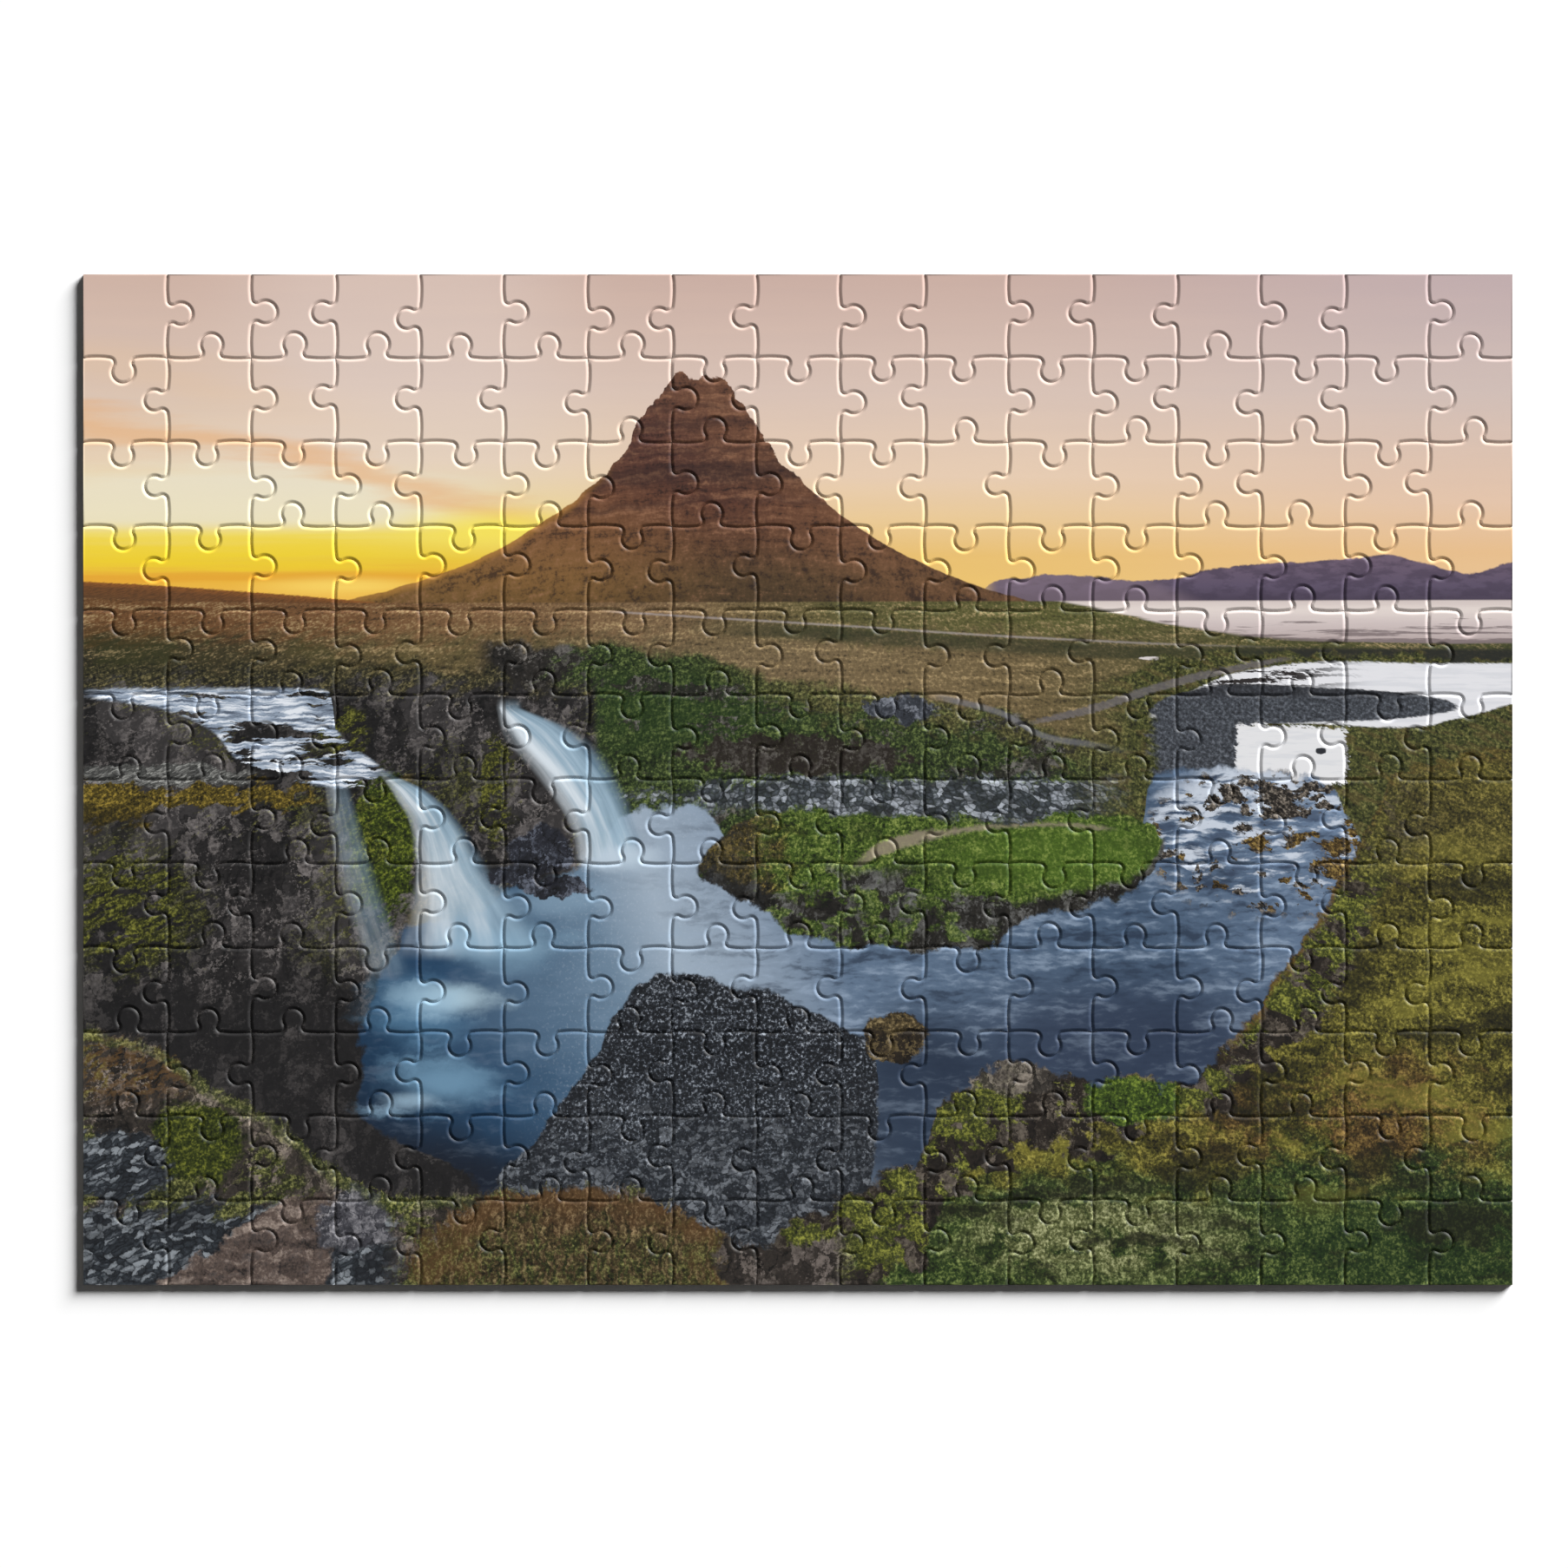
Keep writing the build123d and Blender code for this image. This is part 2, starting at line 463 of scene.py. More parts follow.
def paint_peak(h, s, below):
    """The steep mountain in the middle, banded with rock."""
    rise = h.curve(s.x, [
        (2.9, 8.08), (3.9, 8.34), (4.8, 8.68), (5.4, 9.02), (5.9, 9.38), (6.3, 9.74),
        (6.55, 10.12), (6.68, 10.42), (6.92, 10.62), (7.12, 10.84), (7.45, 10.80),
        (7.75, 10.58), (8.0, 10.2), (8.3, 9.8), (8.7, 9.42), (9.2, 9.02),
        (9.8, 8.66), (10.5, 8.36), (11.5, 8.05),
    ])
    crags = h.noise(s.place, 3.2, 5, 0.56)
    rise = rise + (crags - 0.5) * (0.06 + 0.3 * h.step(s.y, 9.0, 10.2))
    depth = rise - s.y
    aside = s.x - 7.4
    bent_x = s.x + (s.u - s.x) * 0.5
    level = s.y + (s.v - s.y) * 0.35 + aside * aside * 0.03 - aside * 0.04
    left = h.ramp(s.y, [
        (8.05, (104, 78, 42)), (8.4, (124, 90, 50)), (8.9, (122, 84, 52)),
        (9.4, (108, 70, 50)), (10.0, (88, 54, 46)), (10.4, (92, 58, 50)), (10.8, (86, 54, 48)),
    ])
    right = h.ramp(s.y, [
        (8.05, (66, 52, 34)), (8.4, (84, 64, 42)), (8.85, (92, 62, 44)),
        (9.3, (88, 54, 42)), (9.6, (66, 42, 38)), (10.2, (86, 54, 46)), (10.8, (78, 50, 46)),
    ])
    colour = h.mix(h.step(aside, -1.9, 0.5), left, right)
    sunny = h.step(aside + (s.y - 8.3) * 1.1, 0.9, 2.6)
    colour = h.mix(sunny * 0.4, colour, ink(128, 88, 60))
    layered = h.node("CombineXYZ")
    h.put(layered.inputs[0], bent_x * 0.8)
    h.put(layered.inputs[1], level * 8)
    strata = h.noise(Wire(h, layered.outputs[0]), 1.2, 8, 0.7)
    fan = h.node("CombineXYZ")
    h.put(fan.inputs[0], (s.u - 7.4) / (12.2 - s.y) * 12)
    h.put(fan.inputs[1], s.v * 1.6)
    gullies = h.noise(Wire(h, fan.outputs[0]), 1.5, 7, 0.68)
    steep = h.step(s.y, 8.5, 9.4)
    tone = strata * (0.36 + steep * 0.34) + gullies * (0.36 - steep * 0.26)
    tone = tone + h.noise(s.place, 9, 4, 0.6) * 0.25 + s.grain * 0.25
    dark = h.step(tone, 0.63, 0.48)
    colour = h.mix(dark * 0.75, colour, ink(34, 24, 24))
    colour = h.mix(h.step(tone, 0.62, 0.84) * 0.5, colour, ink(166, 120, 90))
    for height, size in ((9.66, 0.1), (10.24, 0.05), (9.9, 0.02), (9.3, 0.03), (10.45, 0.02)):
        belt = h.between(level + (crags - 0.5) * 0.24, height - size, height + size, 0.05)
        colour = h.mix(belt * 0.5, colour, ink(42, 28, 30))
    rim = h.step(depth, 0.14, 0.0) * h.step(s.x, 6.5, 5.6)
    colour = h.mix(rim * 0.5, colour, ink(196, 140, 60))
    shown = h.step(depth, 0.0, 0.02) * h.between(s.x, 2.95, 11.4, 0.08)
    return h.mix(shown, below, colour)


def paint_plain(h, s, below):
    """The lake under the far hills, and the grass plain with its road."""
    level = h.noise(h.place(s.place, scale=(0.4, 8.0)), 2.2, 6, 0.66)
    lake = h.ramp(s.y + (level - 0.5) * 0.1, [
        (7.6, (176, 160, 158)), (7.85, (206, 192, 190)),
        (8.02, (226, 214, 208)), (8.14, (208, 194, 190)),
    ])
    mud = h.step(level + (7.84 - s.y) * 0.8, 0.56, 0.66) * h.step(s.y, 8.0, 7.9)
    lake = h.mix(mud * 0.75, lake, ink(104, 90, 92))
    edge = h.curve(
        s.x, [(11.3, 8.18), (12.2, 8.0), (13.2, 7.8), (14.2, 7.68), (15.5, 7.63), (17, 7.62)],
    )
    water = h.step(s.y + (level - 0.5) * 0.08 - edge, -0.02, 0.02)
    far = h.ramp(s.x, [
        (0, (104, 70, 40)), (3, (112, 78, 48)), (5, (120, 90, 60)), (7, (120, 96, 68)),
        (9, (88, 84, 48)), (11.5, (88, 88, 46)), (14, (74, 74, 42)), (17, (54, 56, 40)),
    ])
    near = h.ramp(s.x, [
        (0, (38, 36, 24)), (2, (62, 56, 34)), (4, (98, 84, 52)), (6, (98, 84, 58)),
        (8.5, (116, 98, 70)), (11, (108, 92, 62)), (14, (78, 78, 42)), (17, (70, 74, 40)),
    ])
    grass = h.mix(h.step(s.y + (s.medium - 0.5) * 0.6, 7.9, 7.5), far, near)
    streaks = h.noise(h.place(s.place, turn=-3, scale=(0.5, 5.0)), 2.2, 6, 0.66)
    tone = streaks * 0.45 + s.fine * 0.45 + s.grain * 0.35
    grass = h.mix(h.step(tone, 0.62, 0.44) * 0.75, grass, ink(34, 30, 20))
    grass = h.mix(h.step(tone, 0.62, 0.82) * 0.6, grass, ink(196, 170, 124))
    shade = h.step(s.y + (s.medium - 0.5) * 0.5, 7.5, 7.15) * h.step(s.x, 5.0, 2.5)
    grass = h.mix(shade * 0.7, grass, ink(28, 27, 20))
    green = h.step(s.broad, 0.46, 0.6) * h.step(s.x, 8.5, 2.5) * h.step(s.y, 7.9, 7.6)
    grass = h.mix(green * 0.4, grass, ink(56, 60, 26))
    colour = h.mix(water, grass, lake)
    road = s.y - h.curve(
        s.x, [(5.9, 8.02), (7, 7.95), (9, 7.83), (11.4, 7.68), (14, 7.58), (17, 7.56)],
    )
    dark = h.between(road, -0.2, -0.02, 0.04) * h.step(s.x, 6.6, 8.6)
    colour = h.mix(dark * 0.7, colour, ink(42, 48, 30))
    shore = h.between(road, -0.2, -0.01, 0.03) * h.step(s.x, 13.2, 14.6)
    colour = h.mix(shore * 0.8, colour, ink(34, 34, 34))
    pale = h.between(road + (s.fine - 0.5) * 0.02, -0.012, 0.01, 0.012) * h.step(s.x, 6.1, 6.6)
    colour = h.mix(pale * h.step(s.x, 14.6, 12.0) * 0.6, colour, ink(168, 158, 156))
    for centre in ((12.72, 7.44), (13.46, 7.42)):
        puddle = h.step(h.ring(s.x, s.y, centre, (0.17, 0.022)) + (s.fine - 0.5) * 0.8, 1.1, 0.8)
        colour = h.mix(puddle, colour, ink(214, 206, 206))
    horizon = h.curve(s.x, [(0, 8.16), (3, 8.1), (11, 8.12), (17, 8.135)])
    return h.mix(h.step(horizon - s.y, -0.01, 0.015), below, colour)


def paint_hill(h, s, below):
    """The dark green slope in the middle, its outcrop, and the scree at its foot."""
    top = h.curve(s.x, [
        (4.6, 7.62), (6, 7.62), (7.4, 7.45), (8.4, 7.2), (9.4, 7.08), (10.5, 6.95),
        (11.6, 6.6), (12.4, 6.35), (13.2, 6.05),
    ])
    depth = top - s.v
    colour = turf(h, s, (12, 18, 9), (44, 58, 27), (112, 126, 70))
    lush = h.step(h.ring(s.x, s.y, (6.9, 6.8), (1.8, 0.55)) + (s.medium - 0.5) * 1.2, 1.3, 0.3)
    colour = h.mix(lush * 0.35, colour, ink(34, 62, 20))
    dry = h.step(depth + (s.medium - 0.5) * 1.2, 0.5, 0.1) * h.step(s.x, 7.0, 9.0)
    colour = h.mix(dry * 0.6, colour, turf(h, s, (30, 30, 18), (96, 88, 52), (160, 148, 98)))
    rock = stone(h, s, (12, 12, 11), (40, 37, 34), (118, 114, 110))
    ledge = h.noise(h.place(s.loose, turn=6, scale=(0.4, 2.2)), 1.5, 6, 0.62)
    bare = h.step(ledge + (s.fine - 0.5) * 0.3, 0.57, 0.64) * 0.9
    band = blot(h, s, (8.5, 6.28), (1.3, 0.26), 0.8)
    left = h.step(s.x + (s.fine - 0.5) * 1.2 + (s.medium - 0.5) * 1.6, 6.1, 5.6)
    bare = h.sum("MAXIMUM", bare, h.sum("MAXIMUM", band * 0.9, left))
    colour = h.mix(bare, colour, rock)
    colour = h.mix(band * 0.35, colour, ink(40, 25, 20))
    outcrop = blot(h, s, (9.7, 6.84), (0.48, 0.17), 0.7)
    colour = h.mix(outcrop, colour, stone(h, s, (16, 17, 20), (56, 60, 68), (136, 140, 150)))
    colour = h.mix(h.step(depth, -0.04, 0.08) * h.step(s.x, 4.6, 4.9), below, colour)
    track = s.y - h.curve(s.x, [(10.2, 6.98), (10.9, 6.8), (11.5, 6.5), (12.0, 6.42), (12.6, 6.3)])
    track = h.between(track, -0.04, 0.03, 0.02) * h.between(s.x, 10.2, 12.6, 0.2)
    colour = h.mix(track * 0.6, colour, ink(116, 116, 122))
    middle = h.curve(s.x, [(7.2, 5.8), (8.4, 5.82), (10, 5.76), (11.4, 5.76), (12.6, 5.86)])
    off = abs(s.v - middle)
    wide = h.curve(
        s.x, [(7.1, 0.02), (7.8, 0.16), (9, 0.2), (10.6, 0.24), (12.0, 0.2), (12.7, 0.05)],
    )
    scree = pebbles(h, s.ground, 5, (26, 29, 32), (72, 78, 86), (176, 182, 192))
    scree = h.mix(h.step(s.medium + s.fine * 0.4, 0.8, 0.6) * 0.6, scree, ink(30, 33, 34))
    shown = h.step(off - wide + (s.fine - 0.5) * 0.3, 0.06, -0.06)
    return h.mix(shown * 0.92, colour, scree)


def paint_ponds(h, s, below):
    """The pale ponds on the right, the gravel bar between them, and the path."""
    bank = turf(h, s, (22, 24, 12), (66, 70, 34), (134, 130, 76))
    bank = h.mix(h.step(s.medium, 0.5, 0.62) * 0.4, bank, ink(84, 66, 40))
    edge = h.curve(s.x, [(11, 7.0), (12.4, 7.25), (13.4, 7.5), (14, 7.5), (17, 7.42)])
    ground = h.step(s.v - edge, 0.04, -0.04) * h.step(s.x, 11.6, 12.6)
    colour = h.mix(ground, below, bank)
    low = h.curve(
        s.x, [(12.6, 6.75), (13.2, 6.7), (14.8, 6.66), (15.6, 6.62), (16.3, 6.72), (17, 6.9)],
    )
    high = h.curve(
        s.x, [(12.6, 6.78), (13.2, 7.06), (14, 7.32), (15, 7.40), (16, 7.38), (17, 7.38)],
    )
    shade = h.noise(h.place(s.place, scale=(0.5, 6)), 2.4, 4, 0.6)
    pale = h.mix(h.step(shade, 0.45, 0.62) * 0.3, ink(226, 226, 230), ink(192, 196, 204))
    pond = h.between(s.y + (s.fine - 0.5) * 0.06, low, high, 0.015) * h.step(s.x, 12.65, 12.8)
    colour = h.mix(pond, colour, pale)
    weed = h.step(shade + s.fine * 0.4, 0.68, 0.74) * h.between(s.y, 7.1, 7.42, 0.04)
    colour = h.mix(weed * pond * h.step(s.x, 15.4, 14.4), colour, ink(46, 42, 42))
    slate = h.ramp(
        s.grain * 0.7 + s.fine * 0.5,
        [(0.46, (40, 42, 47)), (0.62, (66, 70, 77)), (0.84, (112, 117, 126))],
    )
    slate = h.mix(h.step(s.y + s.fine * 0.1, 6.96, 7.1) * 0.6, slate, ink(36, 36, 40))
    bar_y = s.y + (s.fine - 0.5) * 0.05
    crown = h.curve(
        s.x,
        [
            (12.6, 6.8), (13.1, 7.04), (13.8, 7.13), (14.6, 7.1), (15.6, 7.04), (16.1, 6.97),
            (16.4, 6.86),
        ],
    )
    foot = h.curve(
        s.x,
        [
            (12.6, 6.0), (13.7, 6.0), (13.8, 6.62), (14.6, 6.68), (15.6, 6.72), (16.1, 6.78),
            (16.4, 6.84),
        ],
    )
    ends = h.between(s.x + (s.medium - 0.5) * 0.5, 12.72, 16.36, 0.06)
    colour = h.mix(h.between(bar_y, foot, crown, 0.012) * ends, colour, slate)
    jag = (s.fine - 0.5) * 0.16 + (s.medium - 0.5) * 0.12
    across = h.between(s.x + jag, 13.72, 15.02, 0.015)
    tongue = across * h.between(s.y + jag + (s.x - 14.2) * 0.05, 5.98, 6.64, 0.015)
    colour = h.mix(
        tongue, colour,
        h.mix(h.step(shade, 0.5, 0.62) * 0.3, ink(226, 226, 228), ink(196, 200, 208)),
    )
    spot = h.step(h.ring(s.x, s.y, (14.72, 6.34), (0.07, 0.04)) + (s.fine - 0.5) * 0.6, 1.05, 0.85)
    colour = h.mix(spot, colour, ink(42, 44, 50))
    path = s.y - h.curve(s.x, [(11.2, 6.66), (12.0, 6.84), (12.8, 7.1), (13.6, 7.3), (14.4, 7.45)])
    wide = h.curve(s.x, [(11.2, 0.02), (12.4, 0.05), (13.4, 0.045), (14.4, 0.02)])
    path = h.step(abs(path + (s.fine - 0.5) * 0.08) - wide, 0.015, -0.015)
    path = path * h.between(s.x, 11.3, 14.3, 0.2)
    return h.mix(path * 0.75, colour, h.mix(s.fine, ink(84, 80, 80), ink(122, 116, 118)))


def paint_river(h, s, below):
    """The pool under the falls, and the river that runs into it from the right."""
    top = h.curve(s.x, [
        (3.4, 4.2), (4.6, 4.4), (5.4, 4.9), (6.1, 5.1), (6.5, 5.62), (7.3, 5.7),
        (7.7, 5.0), (8.4, 4.5), (12.3, 4.6), (12.6, 5.5), (12.8, 6.1), (13.7, 6.12),
        (14.6, 6.06), (15.0, 5.6), (15.4, 4.9), (15.8, 4.3),
    ])
    low = h.curve(s.x, [
        (2.7, 1.0), (9.4, 1.0), (10.0, 1.4), (10.6, 2.0), (11.2, 2.1),
        (13.2, 2.2), (13.9, 2.6), (14.5, 3.4), (15.2, 4.2), (15.8, 4.4),
    ])
    colour = h.ramp(s.x + s.y * 0.35, [
        (4.2, (22, 50, 76)), (5.6, (36, 68, 98)), (6.8, (66, 94, 120)), (7.6, (104, 128, 150)),
        (8.4, (156, 172, 188)), (9.3, (138, 154, 172)), (10.4, (94, 114, 138)),
        (14, (66, 86, 110)), (17, (104, 124, 150)),
    ])
    deep = h.step(s.y + (s.x - 4) * 0.25 + (s.broad - 0.5) * 0.8, 2.6, 1.4) * h.step(s.x, 7.5, 5.0)
    colour = h.mix(deep * 0.95, colour, ink(20, 26, 38))
    navy = h.step(h.ring(s.x, s.y, (12.4, 2.8), (2.6, 1.0)), 1.25, 0.3)
    colour = h.mix(navy * 0.8, colour, ink(38, 48, 70))
    dark = h.step(h.ring(s.x, s.y, (9.9, 2.1), (1.2, 1.3)), 1.2, 0.5)
    colour = h.mix(dark * 0.85, colour, ink(28, 40, 60))
    halfway = h.mix(0.3, s.place, s.loose)
    flow = h.noise(h.place(halfway, turn=-9, scale=(0.7, 3.0)), 1.6, 4, 0.5)
    fine = h.noise(h.place(halfway, turn=-16, scale=(1, 3.2)), 5.0, 3, 0.5)
    ripple = flow * 0.6 + fine * 0.4
    calm = 1 - h.sum("MAXIMUM", navy * 0.8, dark * 0.8)
    right = h.step(s.x, 6.4, 9.0) * calm
    colour = h.mix(h.step(ripple, 0.49, 0.72) * (0.1 + right * 0.5), colour, ink(160, 178, 200))
    colour = h.mix(h.step(ripple, 0.5, 0.32) * (0.1 + right * 0.6), colour, ink(26, 38, 58))
    grainy = h.step(s.grain, 0.56, 0.7) * h.step(s.x, 5.0, 6.0) * h.step(s.x, 8.5, 7.0)
    colour = h.mix(grainy * 0.2, colour, ink(180, 192, 206))
    rapid = h.step(h.ring(s.u, s.v, (13.95, 5.35), (1.4, 0.85)), 1.1, 0.8)
    foam = h.noise(h.place(halfway, turn=-8, scale=(0.8, 3.4)), 3.0, 4, 0.55)
    bright = h.step(foam + (s.y - 5.3) * 0.16 - (s.x - 13.3) * 0.05, 0.44, 0.62) * rapid
    colour = h.mix(bright * 0.85, colour, ink(208, 216, 228))
    colour = h.mix(h.step(foam, 0.46, 0.34) * rapid * 0.6, colour, ink(48, 60, 82))
    shore = h.step(s.x - (s.y - 4.9) * 0.2, 14.0, 15.2)
    bar = h.step(h.ring(s.x, s.y, (14.15, 5.78), (0.75, 0.26)), 1.2, 0.7)
    bed = h.place(s.loose, turn=-5, scale=(1.0, 1.8))
    tone = s.relief * 0.3 + s.grain * 0.9 + s.fine * 0.3
    brown = h.ramp(tone, [(0.52, (13, 12, 12)), (0.76, (50, 45, 40)), (1.0, (142, 132, 120))])
    weed = h.ramp(tone, [(0.52, (20, 16, 9)), (0.76, (80, 62, 30)), (1.0, (158, 132, 72))])
    for scale in (1.9, 4.2):
        size = h.axes(h.cells(bed, scale, "Color"))[0]
        rock = h.cells(bed, scale) - size * 0.62 + 0.36 - shore * 0.22 - bar * 0.3
        rock = h.step(rock + (s.fine - 0.5) * 0.7, 0.16, 0.06)
        rock = rock * h.step(h.ring(s.x, s.y, (14.1, 5.3), (1.5, 0.92)), 1.15, 0.85)
        weedy = h.step(size + shore * 0.35 - bar + (s.medium - 0.5) * 0.6, 0.86, 0.96)
        colour = h.mix(rock, colour, h.mix(weedy, brown, weed))
    shown = h.between(s.v, low, top, 0.04) * h.between(s.x, 2.75, 15.75, 0.05)
    return h.mix(shown, below, colour)


def paint_island(h, s, below):
    """The green island in the river, with a stony shore and a track."""
    top = h.curve(
        s.x,
        [(7.3, 5.0), (7.9, 5.5), (8.4, 5.66), (9.5, 5.58), (11, 5.5), (12.2, 5.6), (12.86, 5.3)],
    )
    low = h.curve(s.x, [
        (7.3, 4.9), (7.6, 4.7), (8.1, 4.45), (8.5, 4.15), (9.4, 4.0), (10.3, 3.98), (10.8, 4.05),
        (11.2, 4.35), (12.2, 4.55), (12.7, 4.9), (12.86, 5.2),
    ])
    green = turf(h, s, (16, 26, 8), (66, 88, 28), (148, 160, 84))
    lift = h.noise(h.place(s.loose, turn=-8, scale=(0.7, 2.0)), 2.0, 5, 0.6)
    green = h.mix(h.step(lift, 0.5, 0.34) * 0.55, green, ink(26, 36, 14))
    fresh = h.step(h.ring(s.x, s.y, (11.6, 5.1), (1.6, 0.5)), 1.2, 0.4)
    green = h.mix(fresh * 0.35, green, ink(84, 116, 30))
    ochre = turf(h, s, (14, 14, 10), (66, 58, 28), (186, 160, 86))
    colour = h.mix(h.step(s.x + s.medium * 1.5, 8.6, 9.3), ochre, green)
    rim = s.v - low
    under = stone(h, s, (12, 12, 11), (36, 34, 30), (110, 110, 108))
    blocks = h.step(s.broad * 0.7 + s.medium * 0.4, 0.58, 0.64) * h.between(s.x, 8.2, 11.0, 0.1)
    reach = h.curve(
        s.x, [(7.3, 0.1), (8.3, 0.3), (9.0, 0.6), (10.6, 0.6), (11.2, 0.18), (12.8, 0.12)],
    )
    cliff = h.step(rim - reach * (s.medium + s.fine * 0.6 + 0.2), 0.08, -0.04)
    colour = h.mix(h.sum("MAXIMUM", cliff, blocks * h.step(rim, 1.0, 0.8)), colour, under)
    caps = h.step(s.medium * 0.8 + s.broad * 0.5, 0.66, 0.74) * cliff * h.step(s.x, 11.0, 10.6)
    colour = h.mix(caps * 0.8, colour, green)
    stones = h.step(s.x + (s.fine - 0.5) * 2, 8.4, 8.1) * h.step(s.fine + s.grain * 0.5, 0.7, 0.8)
    colour = h.mix(stones * 0.7, colour, ink(34, 35, 36))
    track = s.y - h.curve(s.x, [(9.2, 5.0), (9.6, 5.22), (10.2, 5.36), (11.4, 5.47), (12.4, 5.4)])
    wide = h.curve(s.x, [(9.2, 0.05), (9.6, 0.08), (10.4, 0.03), (12.4, 0.015)])
    track = h.step(abs(track + (s.fine - 0.5) * 0.1) - wide, 0.03, -0.03)
    track = track * h.between(s.x, 9.25, 12.2, 0.15)
    colour = h.mix(track * 0.8, colour, ink(142, 130, 112))
    shown = h.between(s.v, low, top, 0.03) * h.between(s.x, 7.3, 12.86, 0.03)
    return h.mix(shown, below, colour)


def paint_cliffs(h, s, below):
    """The rock walls on the left, mossy on their crests."""
    edge = h.curve(s.y, [
        (0.8, 4.9), (1.3, 4.6), (1.8, 3.6), (2.3, 3.3), (3.4, 3.45), (4.2, 3.8), (5.2, 4.12),
        (6.0, 3.75), (6.2, 5.0), (6.9, 5.15), (7.3, 5.0), (7.5, 4.6), (7.7, 4.4),
    ])
    colour = stone(h, s, (11, 11, 12), (38, 36, 36), (124, 118, 116))
    planes = h.axes(h.cells(h.place(s.loose, turn=14, scale=(1.5, 0.8)), 1.1, "Color"))[0]
    colour = h.mix(h.step(planes + (s.medium - 0.5), 0.3, 0.8) * 0.6, colour, ink(15, 15, 16))
    lit = h.step(planes + (s.medium - 0.5) * 0.8, 0.3, 0.05) * h.step(s.y, 3.4, 4.2)
    colour = h.mix(lit * 0.25, colour, ink(88, 84, 84))
    calm = h.step(s.y + (s.broad - 0.5) * 2.4, 3.8, 2.8)
    colour = h.mix(calm * 0.66, colour, ink(29, 28, 29))
    mossy = turf(h, s, (12, 15, 6), (52, 54, 20), (128, 128, 52))
    green = turf(h, s, (14, 20, 6), (52, 64, 16), (126, 138, 44))
    colour = h.mix(blot(h, s, (3.55, 5.2), (0.42, 0.85)), colour, green)
    wall = h.step(h.ring(s.u, s.v, (0.5, 4.5), (1.0, 0.9)) + (s.medium - 0.5) * 1.4, 1.15, 0.6)
    inner = blot(h, s, (4.9, 5.9), (0.22, 0.7))
    ivy = blot(h, s, (3.1, 6.55), (0.3, 0.35), 0.8)
    fringe = h.step(s.broad + (s.fine - 0.5) * 0.7, 0.6, 0.66) * h.step(s.y, 3.4, 4.4)
    patchy = h.step(s.medium + s.fine * 0.5, 0.66, 0.8)
    lower = h.sum("MAXIMUM", wall, h.sum("MAXIMUM", inner, ivy)) * patchy
    colour = h.mix(h.sum("MAXIMUM", lower, fringe * 0.5), colour, mossy)
    wavy = s.v + (s.medium - 0.5) * 0.5
    crest = h.step(h.ring(s.u, wavy, (1.7, 5.8), (1.1, 0.15)) + (s.fine - 0.5) * 0.6, 1.1, 0.85)
    left = h.step(h.ring(s.u, wavy, (0.2, 5.7), (0.7, 0.3)) + (s.fine - 0.5) * 0.6, 1.1, 0.85)
    ripe = turf(h, s, (22, 18, 6), (82, 70, 24), (172, 146, 60))
    ripe = h.mix(h.step(s.v + (s.medium - 0.5) * 0.3, 5.78, 5.5) * 0.75, ripe, ink(26, 24, 12))
    colour = h.mix(h.sum("MAXIMUM", crest, left), colour, ripe)
    shelf = h.step(h.ring(s.u, s.v, (0.9, 6.06), (1.15, 0.12)), 1.1, 0.9)
    gravel = pebbles(h, s.ground, 9, (36, 37, 36), (84, 84, 82), (140, 140, 136))
    colour = h.mix(shelf, colour, gravel)
    grassy = h.step(s.v + (s.medium - 0.5) * 0.7, 6.98, 7.24)
    colour = h.mix(grassy, colour, turf(h, s, (14, 14, 10), (48, 46, 30), (126, 116, 78)))
    walls = h.step(edge - s.u, -0.03, 0.05) * h.step(s.v + (s.medium - 0.5) * 0.5, 7.5, 7.2)
    drop = s.v - h.curve(s.x, [(4.0, 5.7), (4.5, 5.1), (5.0, 4.7), (5.9, 4.95), (6.2, 5.3)])
    gap = h.step(drop, -0.05, 0.06) * h.between(s.x, 3.9, 6.1, 0.06) * h.step(s.v, 7.2, 7.0)
    return h.mix(h.sum("MAXIMUM", walls, gap), below, colour)


